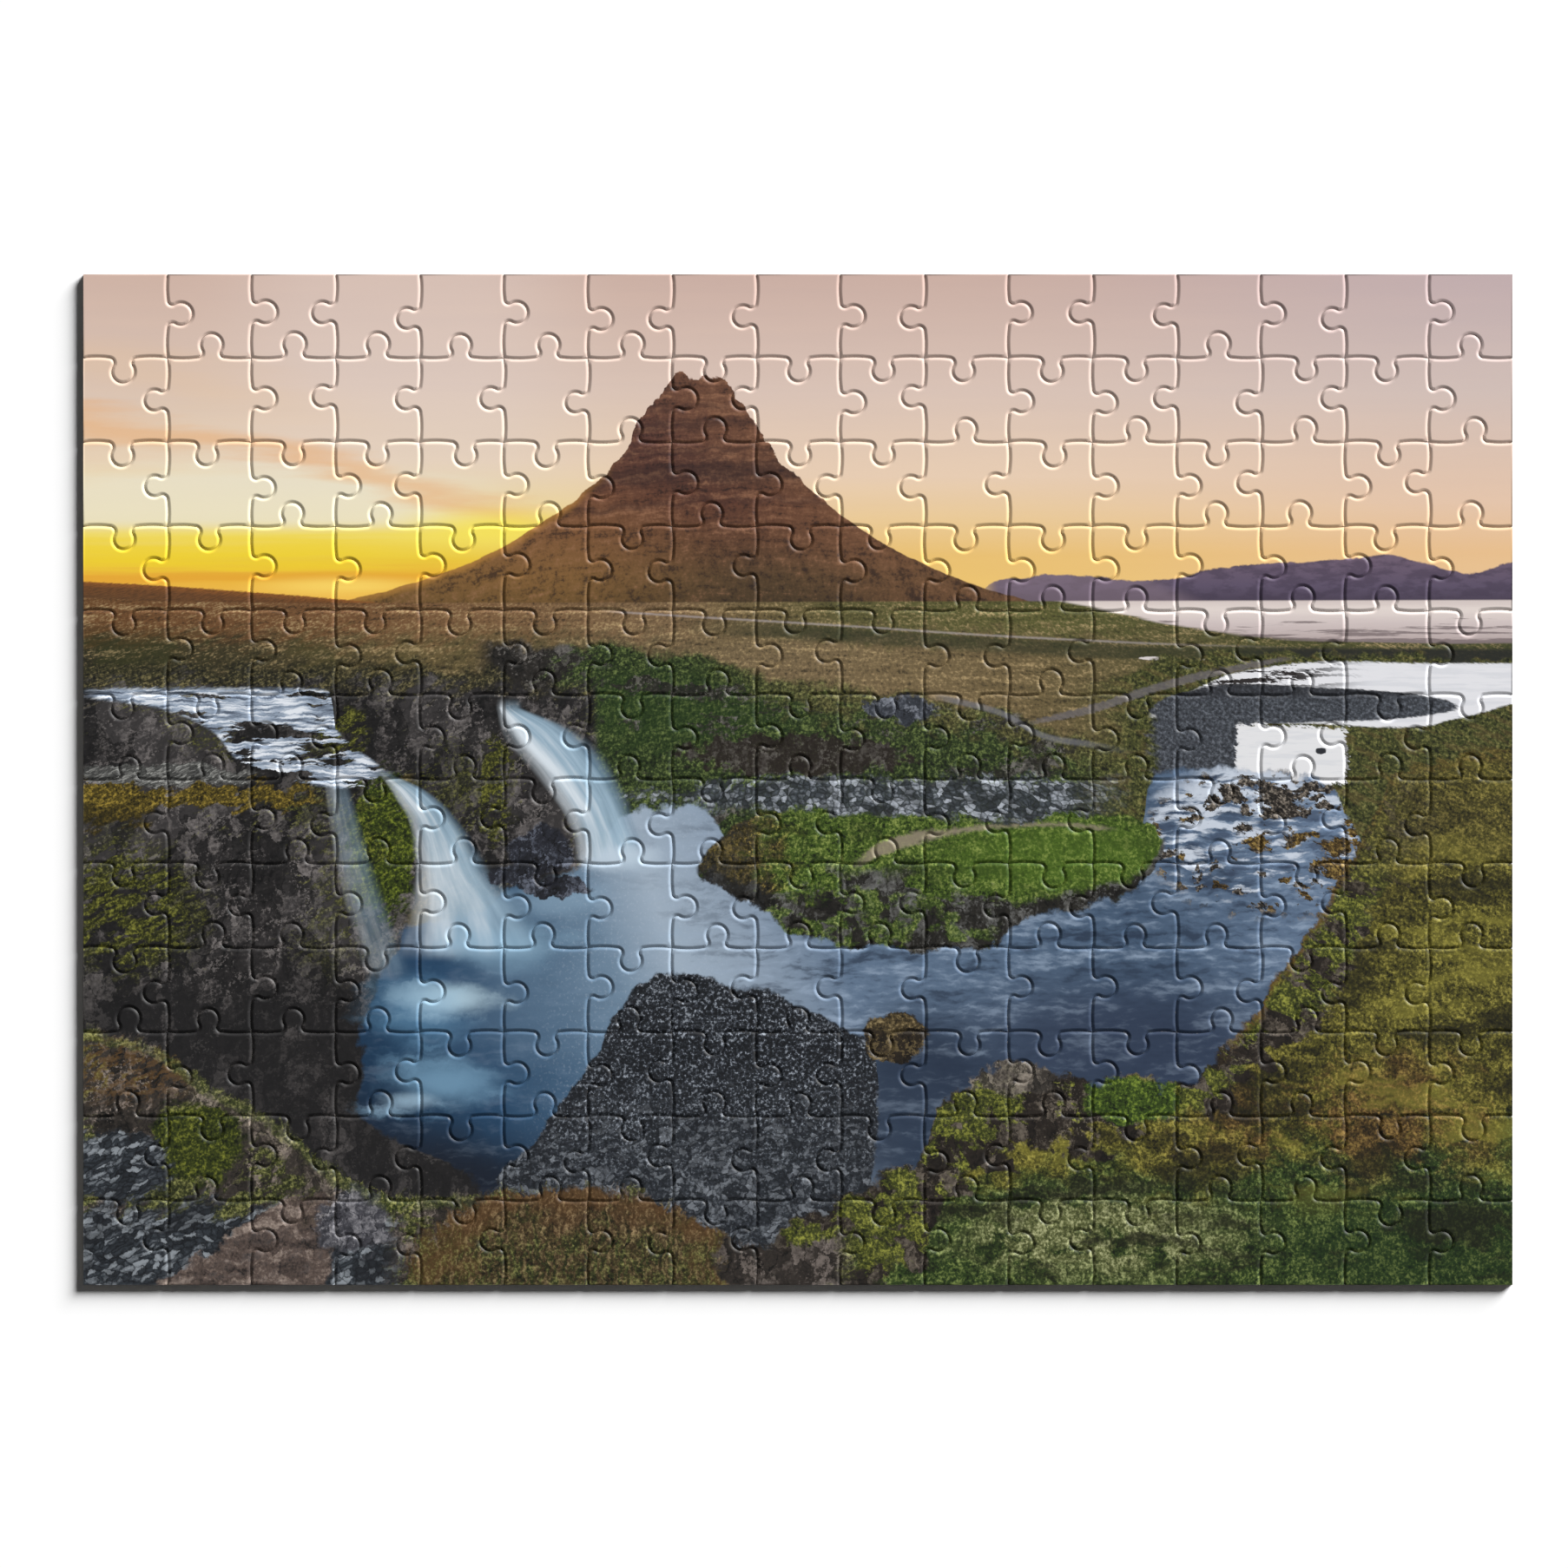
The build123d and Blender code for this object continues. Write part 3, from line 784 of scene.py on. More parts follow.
def paint_falls(h, s, below):
    """The stream over the ledge, the two falls, the thin one beside them, and their mist."""
    halfway = h.mix(0.35, s.place, s.loose)
    flow = h.noise(h.place(halfway, turn=-4, scale=(0.6, 3.6)), 1.9, 4, 0.54)
    lines = h.noise(h.place(halfway, turn=-4, scale=(0.5, 6)), 5.0, 3, 0.5)
    high = h.curve(s.x, [(0, 7.07), (1.0, 7.08), (2.0, 7.08), (2.9, 7.05), (3.0, 6.6), (3.6, 6.1)])
    low = h.curve(
        s.x,
        [(0, 6.98), (0.9, 6.85), (1.5, 6.6), (1.9, 6.2), (2.6, 5.98), (3.3, 5.88), (3.6, 5.95)],
    )
    wet = h.between(s.y + (s.fine - 0.5) * 0.08, low, high, 0.03) * h.between(s.x, 0.1, 3.55, 0.2)
    water = h.ramp(
        lines + flow * 0.4,
        [(0.52, (84, 94, 110)), (0.7, (150, 164, 182)), (0.86, (224, 229, 236))],
    )
    shallow = flow + h.step(s.y, 6.5, 6.95) * 0.14 + (s.fine - 0.5) * 0.12
    colour = h.mix(wet * h.step(shallow, 0.48, 0.52), below, water)

    def fall(colour, left, right, low, high, strength):
        """A veil between two edges, streaked along its fall and thinner to its right."""
        start, end = h.curve(s.y, left), h.curve(s.y, right)
        across = (s.x - start) / (end - start)
        lane = h.node("CombineXYZ")
        h.put(lane.inputs[0], across * 1.5)
        h.put(lane.inputs[1], s.y * 0.3)
        streak = h.noise(Wire(h, lane.outputs[0]), 3.0, 3, 0.5)
        body = h.between(across + (streak - 0.5) * 0.2, 0.0, 0.95, 0.2)
        body = body * h.between(s.y, low, high, 0.12) * (0.85 + streak * 0.2)
        white = h.ramp(streak * 0.5 - across * 0.35, [
            (-0.2, (92, 120, 142)), (0.05, (156, 182, 200)), (0.25, (216, 226, 234)),
        ])
        return h.mix(body * strength, colour, white)

    colour = fall(
        colour,
        [(3.8, 4.0), (4.6, 4.06), (5.3, 4.0), (5.8, 3.76), (6.1, 3.5)],
        [(3.8, 5.6), (4.4, 5.25), (4.9, 4.8), (5.4, 4.5), (5.8, 4.15), (6.1, 3.6)],
        3.95, 6.0, 0.9,
    )
    colour = fall(
        colour,
        [(4.9, 6.0), (5.4, 5.9), (6.0, 5.55), (6.5, 5.15), (6.85, 4.95)],
        [(4.9, 6.72), (5.4, 6.55), (6.0, 6.3), (6.5, 5.9), (6.85, 5.2)],
        5.0, 6.86, 0.97,
    )
    colour = fall(
        colour,
        [(3.6, 3.45), (5.0, 3.05), (6.1, 2.88)],
        [(3.6, 3.9), (5.0, 3.42), (6.1, 3.1)],
        3.7, 6.0, 0.26 * (0.5 + s.medium),
    )
    drifts = h.noise(h.place(s.loose, turn=18, scale=(0.8, 2.2)), 1.3, 4, 0.5)
    soft = drifts * 1.5 + 0.25
    for centre, size, strength, tone in (
        ((5.6, 3.4), (2.0, 1.3), 0.2, (126, 150, 172)),
        ((5.0, 4.0), (1.2, 0.4), 0.5, (140, 176, 200)),
        ((4.3, 3.4), (0.9, 0.3), 0.8, (190, 216, 228)),
        ((4.0, 3.3), (0.9, 0.6), 0.4, (110, 160, 196)),
        ((4.3, 2.4), (0.95, 0.4), 0.7, (120, 160, 188)),
        ((3.9, 2.2), (0.5, 0.16), 0.5, (170, 200, 220)),
        ((6.4, 5.08), (0.7, 0.24), 0.85, (188, 204, 218)),
        ((5.6, 4.55), (0.8, 0.3), 0.5, (140, 168, 190)),
    ):
        mist = h.step(h.ring(s.x, s.y, centre, size) * soft, 1.0, 0.1)
        colour = h.mix(mist * strength, colour, ink(*tone))
    for centre, size in (
        ((5.45, 5.15), (0.42, 0.26)), ((5.6, 4.72), (0.42, 0.13)), ((5.1, 4.85), (0.3, 0.12)),
    ):
        rock = h.step(h.ring(s.u, s.v, centre, size), 1.1, 0.9)
        colour = h.mix(rock, colour, stone(h, s, (12, 12, 14), (38, 40, 48), (104, 110, 124)))
    return colour


def paint_spit(h, s, below):
    """The dark gravel spit in the pool, and the lone rock beside it."""
    rise = h.curve(s.x, [
        (4.9, 1.2), (5.4, 1.8), (6.0, 2.6), (6.4, 3.3), (6.7, 3.62), (7.3, 3.68),
        (8.0, 3.5), (8.7, 3.25), (9.2, 3.0), (9.42, 2.7), (9.5, 1.2),
    ])
    speck = s.grain + (s.fine - 0.5) * 0.5 + (s.medium - 0.5) * 0.3
    far = h.ramp(
        speck,
        [
            (0.42, (19, 21, 25)), (0.54, (46, 50, 56)), (0.62, (92, 98, 108)),
            (0.72, (178, 186, 196)),
        ],
    )
    near = pebbles(h, h.place(s.ground, turn=20), 9, (20, 23, 27), (54, 59, 66), (148, 154, 162))
    colour = h.mix(h.step(s.y + s.medium * 2, 3.6, 2.0) * 0.7, far, near)
    dim = h.step(s.medium + s.broad * 0.5, 0.62, 0.9)
    colour = h.mix(0.24 + dim * 0.3, colour, ink(26, 29, 34))
    shown = h.step(rise - s.v, -0.02, 0.04) * h.between(s.u, 4.9, 9.44, 0.03)
    colour = h.mix(shown, below, colour)
    lone = h.step(h.ring(s.u, s.v, (9.66, 2.94), (0.38, 0.3)), 1.05, 0.94)
    colour = h.mix(lone, colour, stone(h, s, (14, 12, 10), (44, 36, 26), (120, 104, 70)))
    cap = h.step(h.ring(s.u, s.v, (9.62, 3.1), (0.32, 0.12)), 1.05, 0.85)
    return h.mix(cap, colour, turf(h, s, (30, 25, 16), (78, 66, 42), (148, 130, 92)))


def paint_bank(h, s, below):
    """The mossy bank on the right, in front of the river."""
    rise = h.curve(s.x, [
        (8.0, 0.5), (8.6, 0.9), (9.3, 1.2), (9.9, 1.45), (10.2, 2.15), (10.6, 2.5),
        (11.1, 2.65), (11.9, 2.45), (12.9, 2.4), (13.6, 2.8), (14.1, 3.5), (14.7, 4.4),
        (15.1, 5.1), (15.4, 5.7), (15.7, 6.1), (17.0, 6.4),
    ])
    edge = rise - s.v + (s.medium - 0.5) * 0.5
    gold = turf(h, s, (22, 22, 8), (82, 78, 30), (164, 154, 72))
    green = turf(h, s, (12, 22, 8), (46, 64, 26), (130, 144, 78))
    rust = turf(h, s, (26, 18, 10), (78, 56, 30), (150, 116, 66))
    pale = turf(h, s, (38, 44, 22), (98, 102, 60), (196, 196, 150))
    low = h.step(s.y + (s.medium - 0.5) * 1.4 + (s.broad - 0.5) * 1.2 - (s.x - 12) * 0.06, 1.6, 1.0)
    colour = h.mix(low, gold, green)
    warm = h.step(h.ring(s.u, s.v, (15.2, 2.0), (2.2, 0.8)) + (s.medium - 0.5) * 1.2, 1.3, 0.5)
    colour = h.mix(warm * h.step(s.broad + (s.fine - 0.5) * 0.5, 0.4, 0.58) * 0.85, colour, rust)
    light = h.step(h.ring(s.u, s.v, (12.1, 0.6), (2.0, 0.6)) + (s.medium - 0.5) * 1.2, 1.2, 0.5)
    colour = h.mix(light * h.step(s.medium + s.fine * 0.3, 0.5, 0.68) * 0.8, colour, pale)
    corner = h.step(h.ring(s.x, s.y, (15.9, 0.5), (1.9, 0.75)) + (s.medium - 0.5), 1.2, 0.5)
    colour = h.mix(corner * 0.4, colour, ink(16, 40, 16))
    hollow = h.noise(h.place(s.loose, turn=-24, scale=(0.45, 1.7)), 1.3, 6, 0.62)
    shade = h.sum("MINIMUM", h.step(hollow, 0.49, 0.36) + h.step(s.medium, 0.42, 0.3) * 0.5, 1)
    colour = h.mix(shade * 0.75, colour, ink(22, 21, 13))
    lifted = h.step(hollow, 0.52, 0.66) * h.step(s.y, 0.6, 1.6)
    colour = h.mix(lifted * 0.35, colour, ink(150, 142, 58))
    band = h.curve(s.x, [
        (8.0, 0.9), (9.0, 1.1), (10.0, 1.2), (11.2, 1.0), (12.4, 0.6), (13.4, 0.55),
        (14.2, 0.8), (15.0, 1.3), (15.9, 1.2),
    ])
    dirt = h.step(edge + (s.medium - 0.5) * 0.9 + (s.broad - 0.5) * 0.5 - band, 0.06, -0.06)
    earth = stone(h, s, (15, 13, 11), (40, 34, 29), (122, 112, 100))
    dirt = dirt * h.step(s.x, 16.3, 15.2)
    colour = h.mix(dirt, colour, earth)
    mounds = h.step(s.medium * 0.8 + s.broad * 0.7 + (s.fine - 0.5) * 0.4, 0.75, 0.81)
    mounds = mounds * h.step(edge, 0.02, 0.1)
    moss = turf(h, s, (16, 22, 8), (66, 72, 26), (152, 154, 64))
    colour = h.mix(mounds * dirt * 0.95, colour, moss)
    lush = blot(h, s, (12.5, 2.2), (0.6, 0.28), 0.7)
    colour = h.mix(lush, colour, turf(h, s, (16, 26, 8), (58, 78, 24), (130, 150, 56)))
    slabs = blot(h, s, (11.1, 2.5), (0.55, 0.24), 0.8)
    colour = h.mix(slabs * 0.9, colour, stone(h, s, (20, 19, 18), (62, 57, 52), (150, 140, 128)))
    wet = h.step(edge, 0.2, 0.05) * h.step(s.x, 13.4, 14.0)
    colour = h.mix(wet * h.step(s.fine, 0.42, 0.52) * 0.8, colour, ink(96, 74, 34))
    high = h.step(s.y + (s.broad - 0.5) * 1.5, 4.6, 5.4)
    upper = turf(h, s, (24, 24, 12), (76, 70, 34), (138, 122, 68))
    colour = h.mix(high * 0.6, colour, upper)
    shown = h.step(edge, -0.02, 0.05) * h.step(s.x, 8.0, 8.3)
    return h.mix(shown, below, colour)


def paint_foreground(h, s, below):
    """The near bank on the left: grass, pebbles, pale rocks and a mound of dry grass."""
    rise = h.curve(s.x, [
        (0, 3.1), (0.6, 2.95), (1.1, 2.7), (1.7, 2.3), (2.3, 1.95), (2.8, 1.5), (3.3, 1.2),
        (4.2, 1.08), (5.2, 1.12), (6.2, 1.2), (7.0, 0.95), (7.6, 0.6), (8.2, 0.45),
        (9, 0.6), (10, 0.5),
    ])
    grass = turf(h, s, (12, 14, 8), (50, 54, 26), (136, 136, 80))
    rock = stone(h, s, (18, 17, 16), (58, 52, 47), (158, 144, 134))
    colour = h.mix(
        h.step(s.broad * 0.6 + s.medium * 0.4 + (s.fine - 0.5) * 0.5, 0.46, 0.54), rock, grass,
    )
    edge = rise - s.v
    crag = h.between(edge, 0.06, 0.4, 0.08) * h.between(s.x, 0.9, 3.4, 0.1)
    colour = h.mix(crag * 0.85, colour, rock)
    bush = blot(h, s, (1.35, 1.7), (0.5, 0.5), 0.7)
    colour = h.mix(bush, colour, turf(h, s, (14, 20, 6), (50, 58, 18), (124, 128, 48)))
    russet = h.step(h.ring(s.u, s.v, (0.5, 2.6), (0.9, 0.5)), 1.15, 0.6)
    russet = russet * h.step(s.fine, 0.45, 0.55)
    colour = h.mix(russet * 0.5, colour, ink(104, 76, 40))
    stones = pebbles(h, s.ground, 8, (16, 18, 22), (50, 55, 61), (136, 142, 148))
    stones = h.mix(h.step(s.medium, 0.5, 0.38) * 0.6, stones, ink(24, 26, 30))
    shingle = h.step(s.v + (s.medium - 0.5) * 1.2, 1.05, 0.8) * h.step(s.x, 3.9, 3.5)
    side = blot(h, s, (0.3, 1.4), (0.75, 0.42), 0.7)
    colour = h.mix(h.sum("MAXIMUM", shingle, side), colour, stones)
    pink = h.noise(h.place(s.loose, turn=-32, scale=(0.7, 3.0)), 1.7, 7, 0.66)
    strata = h.ramp(pink * 0.7 + s.facet * 0.14 + s.grain * 0.3, [
        (0.4, (34, 29, 28)), (0.6, (94, 80, 73)), (0.82, (176, 160, 148)),
    ])
    along = s.v - s.u * 0.62
    slab = h.between(along + (s.medium - 0.5) * 0.4, -1.75, -0.5, 0.03)
    slab = slab * h.between(s.u, 0.9, 2.95, 0.04) * h.step(s.v, 1.12, 1.05)
    colour = h.mix(slab * 0.95, colour, strata)
    blocks = blot(h, s, (3.2, 0.75), (0.45, 0.4), 0.7)
    colour = h.mix(blocks, colour, stone(h, s, (20, 20, 24), (66, 66, 72), (158, 156, 160)))
    straw = h.noise(h.place(s.loose, turn=22, scale=(5.5, 1.3)), 3.2, 6, 0.7)
    dry = h.ramp(straw * 0.7 + s.grain * 0.4 + s.blade * 0.2, [
        (0.5, (24, 18, 11)), (0.68, (76, 58, 38)), (0.9, (168, 144, 106)),
    ])
    mound = h.step(h.ring(s.u, s.v, (5.9, 0.15), (2.0, 1.02)) + (s.blade - 0.5) * 0.3, 1.06, 0.95)
    inner = h.mix(h.step(s.y + (s.medium - 0.5) * 1.6, 0.4, 1.0), grass, dry)
    inner = h.mix(h.step(straw, 0.42, 0.56) * 0.6, inner, dry)
    crown = h.step(h.ring(s.u, s.v, (6.0, 0.15), (1.9, 1.0)) + (s.medium - 0.5), 0.6, 1.0)
    inner = h.mix(crown * 0.3, inner, ink(108, 76, 40))
    colour = h.mix(mound, colour, inner)
    fringe = h.step(abs(edge - 0.1), 0.12, 0.04) * h.step(s.x, 4.8, 4.4)
    colour = h.mix(fringe * 0.55, colour, turf(h, s, (22, 28, 10), (66, 76, 30), (160, 158, 96)))
    dark = blot(h, s, (8.35, 0.3), (0.8, 0.5), 0.7)
    colour = h.mix(dark, colour, stone(h, s, (16, 15, 14), (52, 46, 42), (124, 114, 108)))
    shown = h.step(edge + (s.blade - 0.5) * 0.25, -0.02, 0.06) * h.step(s.x, 9.4, 8.9)
    return h.mix(shown, below, colour)


# Each layer with the part of the picture it may reach, in pieces: left, right, bottom and top.
LAYERS = {
    "sky": (paint_sky, (0, 17, 8.0, 12)),
    "far_hills": (paint_far_hills, (10.5, 17, 8.0, 8.75)),
    "peak": (paint_peak, (2.9, 11.5, 8.0, 10.9)),
    "ridge": (paint_ridge, (0, 4.4, 7.9, 8.45)),
    "plain": (paint_plain, (0, 17, 6.2, 8.25)),
    "hill": (paint_hill, (4.6, 13.2, 5.4, 7.7)),
    "ponds": (paint_ponds, (11.2, 17, 4.4, 7.6)),
    "river": (paint_river, (2.6, 15.8, 0.9, 6.2)),
    "island": (paint_island, (7.2, 12.9, 3.8, 5.8)),
    "cliffs": (paint_cliffs, (0, 6.2, 0.9, 7.6)),
    "falls": (paint_falls, (0, 7.5, 1.9, 7.2)),
    "spit": (paint_spit, (4.8, 10.1, 0.9, 3.8)),
    "bank": (paint_bank, (8.0, 17, 0, 6.5)),
    "foreground": (paint_foreground, (0, 9.5, 0, 3.2)),
}
# How far, in pieces, the uneven edge of a layer may stray past its reach.
WOBBLE = 0.22
textures = brush_textures()
layers = {name: layer("layer_" + name, paint) for name, (paint, _) in LAYERS.items()}


def layers_on(node_name):
    """The layers that can reach a node, so that its material holds no others."""
    low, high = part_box(node_name)
    left = (low.x / WIDTH + 0.5) * COLUMNS - WOBBLE
    right = (high.x / WIDTH + 0.5) * COLUMNS + WOBBLE
    bottom = (low.y / HEIGHT + 0.5) * ROWS - WOBBLE
    top = (high.y / HEIGHT + 0.5) * ROWS + WOBBLE
    found = []
    for name, (_, reach) in LAYERS.items():
        if reach[0] < right and reach[1] > left and reach[2] < top and reach[3] > bottom:
            found.append(name)
    return tuple(found)


# ---------------------------------------------------------------- the board's materials
def rim_paper_highlight():
    """Bare paper where the die has pressed the very rim of a piece, and a painted highlight: the
    pale line it makes along every cut.
    """
    tree, start, end = new_group(
        "rim_paper_highlight", {"Print": "Color", "Paper": "Color", "Height": "Float"}, {"Colour": "Color"}
    )
    hand = Hand(tree)
    where = hand.node("TexCoord")
    spot = hand.node("SeparateXYZ")
    tree.links.new(where.outputs["Object"], spot.inputs[0])
    ragged = hand.noise(Wire(hand, where.outputs["Object"]), 900, 2)
    depth = Wire(hand, start.outputs["Height"]) - Wire(hand, spot.outputs[2])
    # Pale paper near the foot of the roll: partly bare paper, partly a painted highlight line along
    # the cut.
    bare = hand.step(depth + (ragged - 0.5) * 0.0002, -0.00002, 0.00006)
    colour = hand.mix(
        bare * 0.4, Wire(hand, start.outputs["Print"]), Wire(hand, start.outputs["Paper"]),
    )
    hand.put(end.inputs[0], colour)
    return tree


def fibres():
    """Paper fibres: a fine uneven surface, as a tone and as a height."""
    tree, start, end = new_group(
        "fibres", {"Scale": "Float"}, {"Tone": "Float", "Height": "Float"}
    )
    hand = Hand(tree)
    where = hand.node("TexCoord")
    outputs = []
    for stretch in ((1.0, 0.3, 1.0), (0.3, 1.0, 1.0)):
        turned = hand.node("Mapping")
        tree.links.new(where.outputs["Object"], turned.inputs[0])
        turned.inputs["Scale"].default_value = stretch
        noise = hand.node("TexNoise")
        noise.inputs["Detail"].default_value = 3
        tree.links.new(turned.outputs[0], noise.inputs["Vector"])
        tree.links.new(start.outputs["Scale"], noise.inputs["Scale"])
        outputs.append(Wire(hand, noise.outputs[0]))
    hand.put(end.inputs["Tone"], (outputs[0] + outputs[1]) * 0.5)
    hand.put(end.inputs["Height"], hand.sum("MAXIMUM", *outputs))
    return tree


rim_paper_highlight_group = rim_paper_highlight()
fibre_group = fibres()


def new_material(name, roughness, specular):
    """A material with a plain Principled shader, and the hand that wires it."""
    made = bpy.data.materials.new(name)
    made.use_nodes = True
    shader = made.node_tree.nodes["Principled BSDF"]
    shader.inputs["Roughness"].default_value = roughness
    shader.inputs["Specular IOR Level"].default_value = specular
    return made, Hand(made.node_tree), shader


def add_group(hand, tree, **values):
    """Places a shared node group in a material, with its own values."""
    made = hand.node("Group")
    made.node_tree = tree
    for name, value in values.items():
        hand.put(made.inputs[name], value)
    return made


def add_bump(hand, shader, height, distance, strength):
    """Feeds a height into the shader's normal."""
    bump = hand.node("Bump")
    bump.inputs["Strength"].default_value = strength
    bump.inputs["Distance"].default_value = distance
    hand.put(bump.inputs["Height"], height)
    hand.tree.links.new(bump.outputs[0], shader.inputs["Normal"])


NAME_LENGTH = 60
# How rough the print is at its smoothest, and how much rougher its fibres make it.
SATIN, FIBRE_ROUGHNESS = 0.42, 0.16


def print_material(chosen):
    """The printed face: the picture's layers one over another, under a satin coat."""
    name = "print_of_" + "_".join(chosen)
    made, hand, shader = new_material(name[:NAME_LENGTH], roughness=SATIN, specular=0.3)
    brushes = add_group(hand, textures)
    colour = ink(60, 62, 40)
    for layer_name in chosen:
        painted = add_group(hand, layers[layer_name], Below=colour)
        for socket in TEXTURES:
            hand.tree.links.new(brushes.outputs[socket], painted.inputs[socket])
        colour = Wire(hand, painted.outputs[0])
    # The rim's foot turns pale paper colour: bare paper, and a painted highlight along every cut.
    rim_paper_and_highlight = add_group(
        hand, rim_paper_highlight_group, Print=colour, Paper=ink(214, 204, 188), Height=TOP - PAPER_HIGHLIGHT_DEPTH
    )
    hand.tree.links.new(rim_paper_and_highlight.outputs[0], shader.inputs["Base Color"])
    surface = add_group(hand, fibre_group, Scale=1500.0)
    sheen = Wire(hand, surface.outputs["Tone"]) * FIBRE_ROUGHNESS + SATIN
    hand.put(shader.inputs["Roughness"], sheen)
    height = Wire(hand, surface.outputs["Height"])
    add_bump(hand, shader, height, distance=0.00002, strength=0.25)
    shader.inputs["Coat Weight"].default_value = 0.06
    shader.inputs["Coat Roughness"].default_value = 0.3
    return made


def greyboard_material():
    """The cut side: layers of grey pulp between a pale printed sheet and a pale lining."""
    made, hand, shader = new_material("greyboard_side", roughness=0.85, specular=0.3)
    where = hand.node("TexCoord")
    layered = hand.node("Mapping")
    hand.tree.links.new(where.outputs["Object"], layered.inputs[0])
    layered.inputs["Scale"].default_value = (1, 1, 7)
    pulp = hand.node("TexNoise")
    pulp.inputs["Scale"].default_value = 700
    pulp.inputs["Detail"].default_value = 4
    hand.tree.links.new(layered.outputs[0], pulp.inputs["Vector"])
    tone = Wire(hand, pulp.outputs[0])
    colour = hand.mix(hand.step(tone, 0.35, 0.65), ink(88, 82, 74), ink(140, 132, 120))
    spot = hand.node("SeparateXYZ")
    hand.tree.links.new(where.outputs["Object"], spot.inputs[0])
    height = Wire(hand, spot.outputs[2])
    sheet = hand.step(height, TOP - SHEET_DEPTH[0], TOP - SHEET_DEPTH[1])
    lining = hand.step(height, *LINING_HEIGHT)
    colour = hand.mix(hand.sum("MAXIMUM", sheet, lining), colour, ink(190, 182, 168))
    hand.put(shader.inputs["Base Color"], colour)
    add_bump(hand, shader, tone, distance=0.00008, strength=0.6)
    return made


def backing_material():
    """The underside: plain grey paper with short fibres."""
    made, hand, shader = new_material("backing_paper", roughness=0.8, specular=0.3)
    surface = add_group(hand, fibre_group, Scale=900.0)
    tone = Wire(hand, surface.outputs["Tone"])
    colour = hand.mix(hand.step(tone, 0.3, 0.7), ink(182, 178, 170), ink(206, 203, 196))
    hand.put(shader.inputs["Base Color"], colour)
    height = Wire(hand, surface.outputs["Height"])
    add_bump(hand, shader, height, distance=0.00004, strength=0.4)
    return made


prints = {}
for node_name in sorted(frame["nodes"]):
    chosen = layers_on(node_name)
    if chosen not in prints:
        prints[chosen] = print_material(chosen)
greyboard = greyboard_material()
backing = backing_material()
PRINT, SIDE, BACK = range(3)
BACK_LEVEL, PRINT_LEVEL = -0.9, 0.2


# ---------------------------------------------------------------- the pieces
SAME_PLANE = math.radians(0.5)
SOFT_EDGE = math.radians(42)
LEVEL = 0.999


def only(piece):
    """Selects one object and makes it active."""
    bpy.ops.object.select_all(action="DESELECT")
    piece.select_set(True)
    bpy.context.view_layer.objects.active = piece


def choose(piece, kind, wanted):
    """Selects only those points, edges or faces of a piece that are wanted."""
    mesh = piece.data
    for part in (mesh.vertices, mesh.edges, mesh.polygons):
        part.foreach_set("select", [False] * len(part))
    for part in getattr(mesh, kind):
        part.select = wanted(part)


def on_border(place, inside=0.0):
    """Whether a place is that far inside one of the sheet's four outer sides."""
    return any(
        abs(gap - inside) < NEAR
        for gap in (
            place.x - cad_low.x, cad_high.x - place.x, place.y - cad_low.y, cad_high.y - place.y
        )
    )


def square_border(piece):
    """Moves the rolled rim out again along the sheet's outer sides, which are cut square."""
    sides = (
        (cad_low.x, 0, -1), (cad_high.x, 0, 1), (cad_low.y, 1, -1), (cad_high.y, 1, 1),
    )
    for side, axis, outwards in sides:
        place = [0, 0, 0]
        place[axis] = side - outwards * FADE
        normal = [0, 0, 0]
        normal[axis] = 1
        bpy.ops.object.mode_set(mode="EDIT")
        bpy.ops.mesh.select_all(action="SELECT")
        bpy.ops.mesh.bisect(plane_co=place, plane_no=normal)
        bpy.ops.object.mode_set(mode="OBJECT")
        choose(piece, "vertices", lambda point: (
            point.co.z > TOP - NEAR and abs(side - outwards * CAD_ROLL - point.co[axis]) < NEAR
        ))
        move = [0, 0, 0]
        move[axis] = outwards * CAD_ROLL
        bpy.ops.object.mode_set(mode="EDIT")
        bpy.ops.mesh.select_mode(type="VERT")
        bpy.ops.transform.translate(value=move)
        bpy.ops.mesh.select_mode(type="FACE")
        bpy.ops.object.mode_set(mode="OBJECT")


def lower_rim(piece, outline):
    """Draws the rim down towards the cut in steps, most where it faces the lower left."""
    for lean in LEANS:
        choose(piece, "vertices", lambda point: (
            tuple(point.co)[:2] in outline
            and point.co.z > TOP - CAD_ROLL / 2
            and not on_border(point.co)
            and point.normal.x + point.normal.y < -lean
        ))
        bpy.ops.object.mode_set(mode="EDIT")
        bpy.ops.mesh.select_mode(type="VERT")
        bpy.ops.transform.translate(value=(0, 0, -ROLL_DROP))
        bpy.ops.object.mode_set(mode="OBJECT")


def raise_lip(piece):
    """Swells the foot of the roll outwards along every cut between two pieces."""
    choose(piece, "vertices", lambda point: (
        abs(TOP - CAD_ROLL - point.co.z) < NEAR and not on_border(point.co)
    ))
    bpy.ops.object.mode_set(mode="EDIT")
    bpy.ops.transform.shrink_fatten(value=LIP)
    bpy.ops.object.mode_set(mode="OBJECT")


